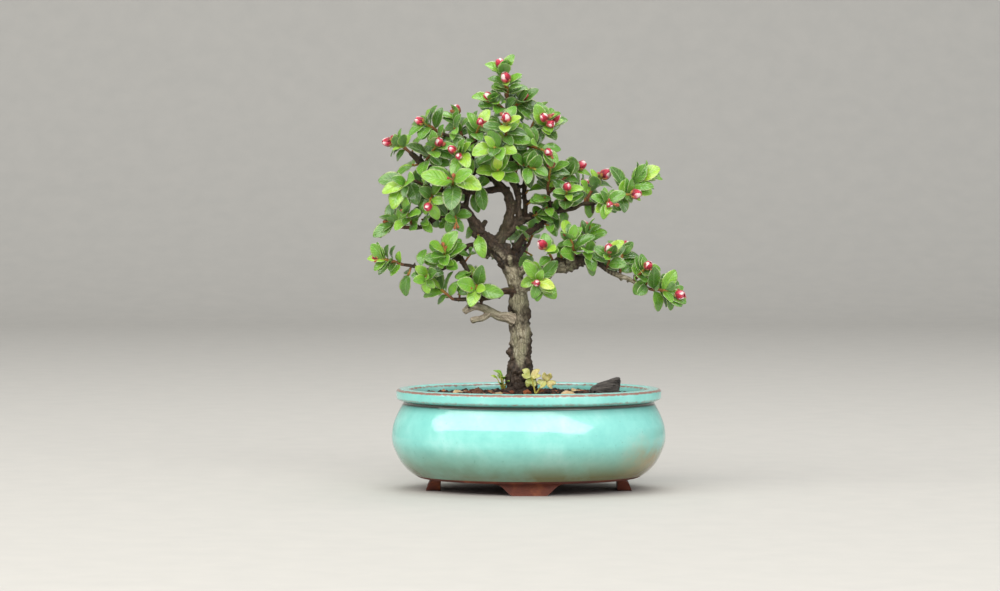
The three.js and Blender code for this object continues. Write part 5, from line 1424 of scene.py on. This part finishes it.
def addTwig(pile, shoot):
    curve = np.array(shoot["curve"])
    for leaf in shoot["leaves"]:
        near = np.exp(-((np.linalg.norm(curve[:, :3] - leaf["base"], axis=1) / 0.9) ** 2))
        curve[:, 3] *= 1 + 0.12 * near  # a joint where the leaf sits
    start, lead = curve[0, :3], unit(curve[1, :3] - curve[0, :3])
    if shoot["share"] == 1:
        # the shoot goes on from the limb's end, a little thicker where last year's wood stops
        inner = limbs[shoot["limb"]][-1]
        back = unit(start - np.array(inner[:3])) if np.linalg.norm(start - np.array(inner[:3])) > 0.1 else lead
        line = np.vstack([start - back * 4.5, start - back * 2.4, start - back * 0.8, curve[:, :3]])
        radii = np.concatenate([[inner[3] * 0.8, inner[3] * 1.02, inner[3] * 0.95], curve[:, 3]])
    else:
        line = np.vstack([start - lead * 0.9, curve[:, :3]])
        radii = np.concatenate([[curve[0, 3] * 1.15], curve[:, 3]])
    addStem(pile, line, radii, 9, 1, lambda along: 0.12 + 0.7 * along**1.5)
    for leaf in shoot["leaves"]:
        # the small bud in the leaf's axil
        to = unit(leaf["way"] * 0.4 + leaf["face"] * 0.9)
        core = [leaf["base"] + to * t for t in (0.1, 0.45, 0.8, 1.15)]
        addStem(pile, core, [0.3, 0.42, 0.3, 0.08], 7, 1, 0.45)


def addYoungBuds(pile, shoot, draw):
    # Small unopened buds, still wrapped in their sepals, at the end of a shoot
    end, _, along = onLine(shoot["line"], 1)
    side = perpendicular(along)
    for _ in range(int(draw() * 3.2)):
        turn = draw() * 2 * math.pi
        way = unit(along * 0.8 + side * math.cos(turn) + np.cross(side, along) * math.sin(turn))
        size = 0.5 + 0.5 * draw()
        reach = 1.2 + 1.8 * draw()
        core = [end + way * t for t in (0, reach * 0.6, reach, reach + size * 0.7, reach + size * 1.5, reach + size * 2.1)]
        points, faces, rise = tubeRings(core, [0.3, 0.28, size * 0.55, size, size * 0.8, size * 0.15], 10)
        places = np.stack([0.4 + 0.9 * rise, 0 * rise, 0 * rise], 1)
        pile.add(points, faces, 3, leafPlace=places, underside=0.0, leafTone=0.5, drawn=points)


def turnedOut(leaf, draw):
    # A blade rolls on its stalk until its upper side looks out of the crown; the midrib stays where it is
    x, y, z = leaf["middle"]
    out = unit(np.array([x * 0.006, -0.9 if y < 8 else 0.9, (z - 95) * 0.008]))
    return leafAt(leaf["base"], leaf["way"], leaf["face"] * 0.75 + out * (0.3 + 0.6 * draw()), leaf["length"])


def makeShoots():
    taken = {"leaves": [], "buds": []}
    laid = {name: layShoot(row, i + 1, taken) for i, (name, row) in enumerate(shoots.items())}
    for name, share, way, look, length, age in standOut:
        leaf = leafAt(onLine(laid[name]["line"], share)[0], unit(np.array(way)), np.array(look), length)
        leaf["age"] = age
        laid[name]["leaves"].append(leaf)
        taken["leaves"].append(leaf)
    for i, shoot in enumerate(laid.values()):
        addSmallLeaves(shoot, i + 1, taken)
    spurs = addSpurLeaves(taken)
    total = 0
    for i, (name, shoot) in enumerate(laid.items()):
        draw = streamFrom(i + 900)
        mood = (shootMood.get(name, 0.42) - 0.5) * 0.9
        pile = Pile()
        for leaf in shoot["leaves"]:
            tone = 0.44 + mood + 0.55 * (0.5 - leaf["age"]) + 0.45 * (draw() - 0.5)
            addBlade(pile, turnedOut(leaf, draw), draw, min(1, max(0, tone)))
        addTwig(pile, shoot)
        for bud in shoot["buds"]:
            ripe = 0.6 if name in unripe else 0.76 + 0.24 * draw()
            addBud(pile, dict(bud, radius=bud["radius"] * ripe), draw)
        addYoungBuds(pile, shoot, draw)
        made = pile.build("leafy_" + name, shootFinishes)
        settle(made, "foliage", "shoot_" + name)
        total += len(made.data.polygons)
    draw, pile = streamFrom(77), Pile()
    for spur in spurs:
        for leaf in spur["leaves"]:
            tone = 0.16 + 0.5 * (1 - leaf["age"]) + 0.25 * draw()
            addBlade(pile, leaf, draw, min(1, max(0, tone)))
        addTwig(pile, spur)
    made = pile.build("spur_leaves", shootFinishes)
    settle(made, "foliage")
    print("shoots:", len(spurs), "spurs,", len(taken["leaves"]), "leaves,", len(taken["buds"]), "buds,", total, "faces")


# 0 dark old leaves, 1 lime young ones
shootMood = {
    "front_bright": 0.85, "star": 0.3, "front_low_crown": 0.62, "apex": 0.55, "big_leaves": 0.5, "left_high": 0.42,
    "trunk_front": 0.6, "low_left_hang": 0.58, "low_left_top": 0.5, "right_shoulder": 0.5, "crown_bud_mid": 0.6,
    "crown_bud_inner": 0.55, "low_right_inner": 0.5, "crown_trio": 0.4, "low_spur_tip": 0.55, "right_long": 0.5,
}
unripe = ("trunk_front", "left_high", "reach_tip", "low_left_tip", "right_under_bud")  # shoots whose buds are still small
makeShoots()

# The wood sorrel that came up beside the trunk, and other things on the soil

sorrel = {
    "root": (3.0, -11.0),
    "leaves": [((1.0, -9.0, 52.0), 5.0), ((8.0, -10.5, 50.0), 4.4)],
    "ramp": [(0.0, "#8E9A4C"), (0.35, "#B4BC62"), (0.6, "#C9C877"), (0.85, "#C9A070"), (1.0, "#B98E62")],
}


def makeSorrel():
    weed = livingLeaf("wood_sorrel_leaf_grown", sorrel["ramp"])
    draw = streamFrom(31)
    pile = Pile()
    foot = np.array([*sorrel["root"], soilHeight(*sorrel["root"]) + 0.5])
    for k, (tip, size) in enumerate(sorrel["leaves"]):
        tip = np.array(tip)
        middle = (foot + tip) / 2 + np.array([0, -0.6, 0.8])
        stem = smoothLine([[*foot, 0.42], [*middle, 0.34], [*tip, 0.3]], 0.5)
        addStem(pile, stem[:, :3], stem[:, 3], 9, 1, 0.85)
        for i in range(3):
            a = i / 3 * 2 * math.pi + 0.5 + k
            way = unit(np.array([math.cos(a), -0.35, math.sin(a) * 0.9]))
            leaf = leafAt(tip, way, np.array([0.1, -0.8, 0.6]), size)
            addHeart(pile, leaf, draw, 0.35 + 0.35 * draw())
    made = pile.build("wood_sorrel_fine", [weed, shootFinishes[1]])
    settle(made, "weed_leaf", "wood_sorrel")
    print("wood sorrel:", len(made.data.polygons), "faces")


heartRows, heartColumns = np.array([0, 0.1, 0.2, 0.32, 0.45, 0.58, 0.7, 0.82, 0.92, 0.985]), np.linspace(-1, 1, 11)
heartFaces = sheetFaces(10, 11)


def addHeart(pile, leaf, draw, tone):
    # A heart-shaped leaflet, folded along its middle and notched at the end
    u, w = np.meshgrid(heartRows, heartColumns, indexing="ij")
    length = leaf["length"]
    width = np.sin(math.pi * (0.03 + 0.8 * u) ** 1.05) ** 0.8 * length * 0.56
    notch = 0.3 * np.exp(-((w / 0.42) ** 2)) * u**4
    lift = length * (0.16 * np.abs(w) * np.sin(math.pi * u * 0.8) - 0.12 * u**2) + 0.08 * length * np.sin(u * 6 + w * 2 + draw() * 6)
    middle = (leaf["base"] + leaf["way"] * (length * (u - notch))[..., None] + leaf["side"] * (width * w)[..., None]
              + leaf["face"] * lift[..., None])
    thick = (0.16 * (1 - w * w) + 0.02)[..., None]
    upper, lower = middle + leaf["face"] * thick / 2, middle - leaf["face"] * thick / 2
    tip = middle[-1, 5] + leaf["way"] * 0.02 * length
    points = sheetPoints(upper, lower, tip)
    places = np.stack([u, w * 0.88, np.zeros_like(u)], -1)
    places = sheetPoints(places, places, [1, 0, 0])
    shares = {"leafPlace": places, "underside": lowerShare(u), "leafTone": np.full(len(points), tone)}
    pile.add(points, heartFaces, 0, **shares, drawn=points)


makeSorrel()

litter = {
    # [x, y, turn, length, tone] of dead and fallen leaves lying on the soil
    "leaves": [(14.0, -16.0, 0.4, 7.5, 0.9), (-12.0, -19.0, 2.3, 6.0, 0.75), (20.0, 11.0, 1.2, 7.0, 0.95), (-30.0, 9.0, 4.0, 6.5, 0.85)],
    "ramp": [(0.0, "#5A3A26"), (0.4, "#8A6240"), (0.75, "#B98E62"), (1.0, "#CBA577")],
    "sprout": (-11.5, 1.0),
    "sproutStems": 11,
}


def makeLitter():
    dead = livingLeaf("dead_leaf_dried", litter["ramp"])
    draw = streamFrom(57)
    pile = Pile()
    for x, y, turn, length, tone in litter["leaves"]:
        way = unit(np.array([math.cos(turn), math.sin(turn), 0.08]))
        leaf = leafAt(np.array([x, y, soilHeight(x, y) + 1.7]), way, np.array([0.1, -0.3, 0.9]), length)
        addBlade(pile, leaf, draw, tone)
    made = pile.build("fallen_leaves", [dead])
    settle(made, "weed_leaf")
    # a small green seedling left of the trunk
    pile = Pile()
    x, y = litter["sprout"]
    foot = np.array([x, y, soilHeight(x, y)])
    for k in range(litter["sproutStems"]):
        a = k * 2.4
        rise = 4.0 + 0.85 * ((k * 5) % 7)
        top = foot + np.array([math.cos(a) * (0.8 + 0.25 * k), math.sin(a) * (0.8 + 0.15 * k), rise])
        addStem(pile, [foot, foot * 0.4 + top * 0.6 + np.array([0, 0, 0.4]), top], [0.3, 0.22, 0.16], 6, 1, 0.95)
        way = unit(np.array([math.cos(a), math.sin(a) - 0.4, 0.5]))
        leaf = leafAt(top, way, np.array([0, -0.5, 0.8]), 3.2 + 1.6 * draw())
        addBlade(pile, leaf, draw, 0.6 + 0.35 * draw())
    made = pile.build("seedling", [shootFinishes[0], shootFinishes[1]])
    settle(made, "weed_leaf")
    print("fallen leaves and seedling:", len(litter["leaves"]), "leaves,", litter["sproutStems"], "stems")


makeLitter()

# The floor and the light

studio = {
    "floor": "#B6B3AD",
    "world": "#DDE3EA",
    "worldStrength": 0.52,
    # [place, aim, size, power in watts, colour]
    "key": [(-400, -1200, 1250), (0, 0, 60), (4.8, 1.0), 69.0, "#FBFAF6"],
    "fill": [(1300, -900, 700), (0, 0, 100), (2.2, 1.6), 5.0, "#EAF1FF"],
    "top": [(100, 350, 1500), (0, 0, 100), (1.0, 1.0), 11.0, "#FFFFFF"],
}


def makeStudio():
    # Painted board: matt, with a faint roller texture
    material, tree = newMaterial("floor_board_painted")
    spot = addNode(tree, "TexCoord").outputs["Object"]
    fine = addNode(tree, "TexNoise", {"Vector": spot, "Scale": 60.0, "Detail": 4.0})
    shade = addNode(tree, "Mix", {0: fine.outputs["Fac"], 6: colour(studio["floor"]), 7: colour("#C0BCB5")},
                    data_type="RGBA").outputs[2]
    bump = addNode(tree, "Bump", {"Height": fine.outputs["Fac"], "Strength": 0.05, "Distance": 0.0005})
    shader = addNode(tree, "BsdfPrincipled", {"Base Color": shade, "Roughness": 0.75, "Normal": bump.outputs[0]})
    addNode(tree, "OutputMaterial", {"Surface": shader.outputs[0]})
    # one sheet: flat floor, then a wide curve up behind
    across, back, bend = 4000, 1500, 600
    curve = [(back + bend * math.sin(a), bend * (1 - math.cos(a))) for a in np.linspace(0, math.pi / 2, 16)]
    rows = [(-6000, 0)] + curve + [(back + bend, 4500)]
    points = [(x, y, z) for y, z in rows for x in (-across, across)]
    faces = [(2 * i, 2 * i + 1, 2 * i + 3, 2 * i + 2) for i in range(len(rows) - 1)]
    floor = buildObject("floor_sheet", points, faces, [material])
    for name in ("key", "fill", "top"):
        at, aim, size, power, shade = studio[name]
        lamp = bpy.data.lights.new(name, "AREA")
        lamp.shape = "RECTANGLE"
        lamp.size, lamp.size_y, lamp.energy, lamp.color = *size, power, colour(shade)[:3]
        thing = bpy.data.objects.new(name, lamp)
        scene.collection.objects.link(thing)
        thing.location = place(at)
        thing.rotation_euler = (place(aim) - thing.location).to_track_quat("-Z", "Y").to_euler()
    world = bpy.data.worlds.new("soft_room")
    world.use_nodes = True
    sky = world.node_tree.nodes["Background"].inputs
    sky["Color"].default_value = colour(studio["world"])
    sky["Strength"].default_value = studio["worldStrength"]
    scene.world = world
    scene.view_settings.view_transform = "Standard"
    print("studio: floor and three lamps")


makeStudio()
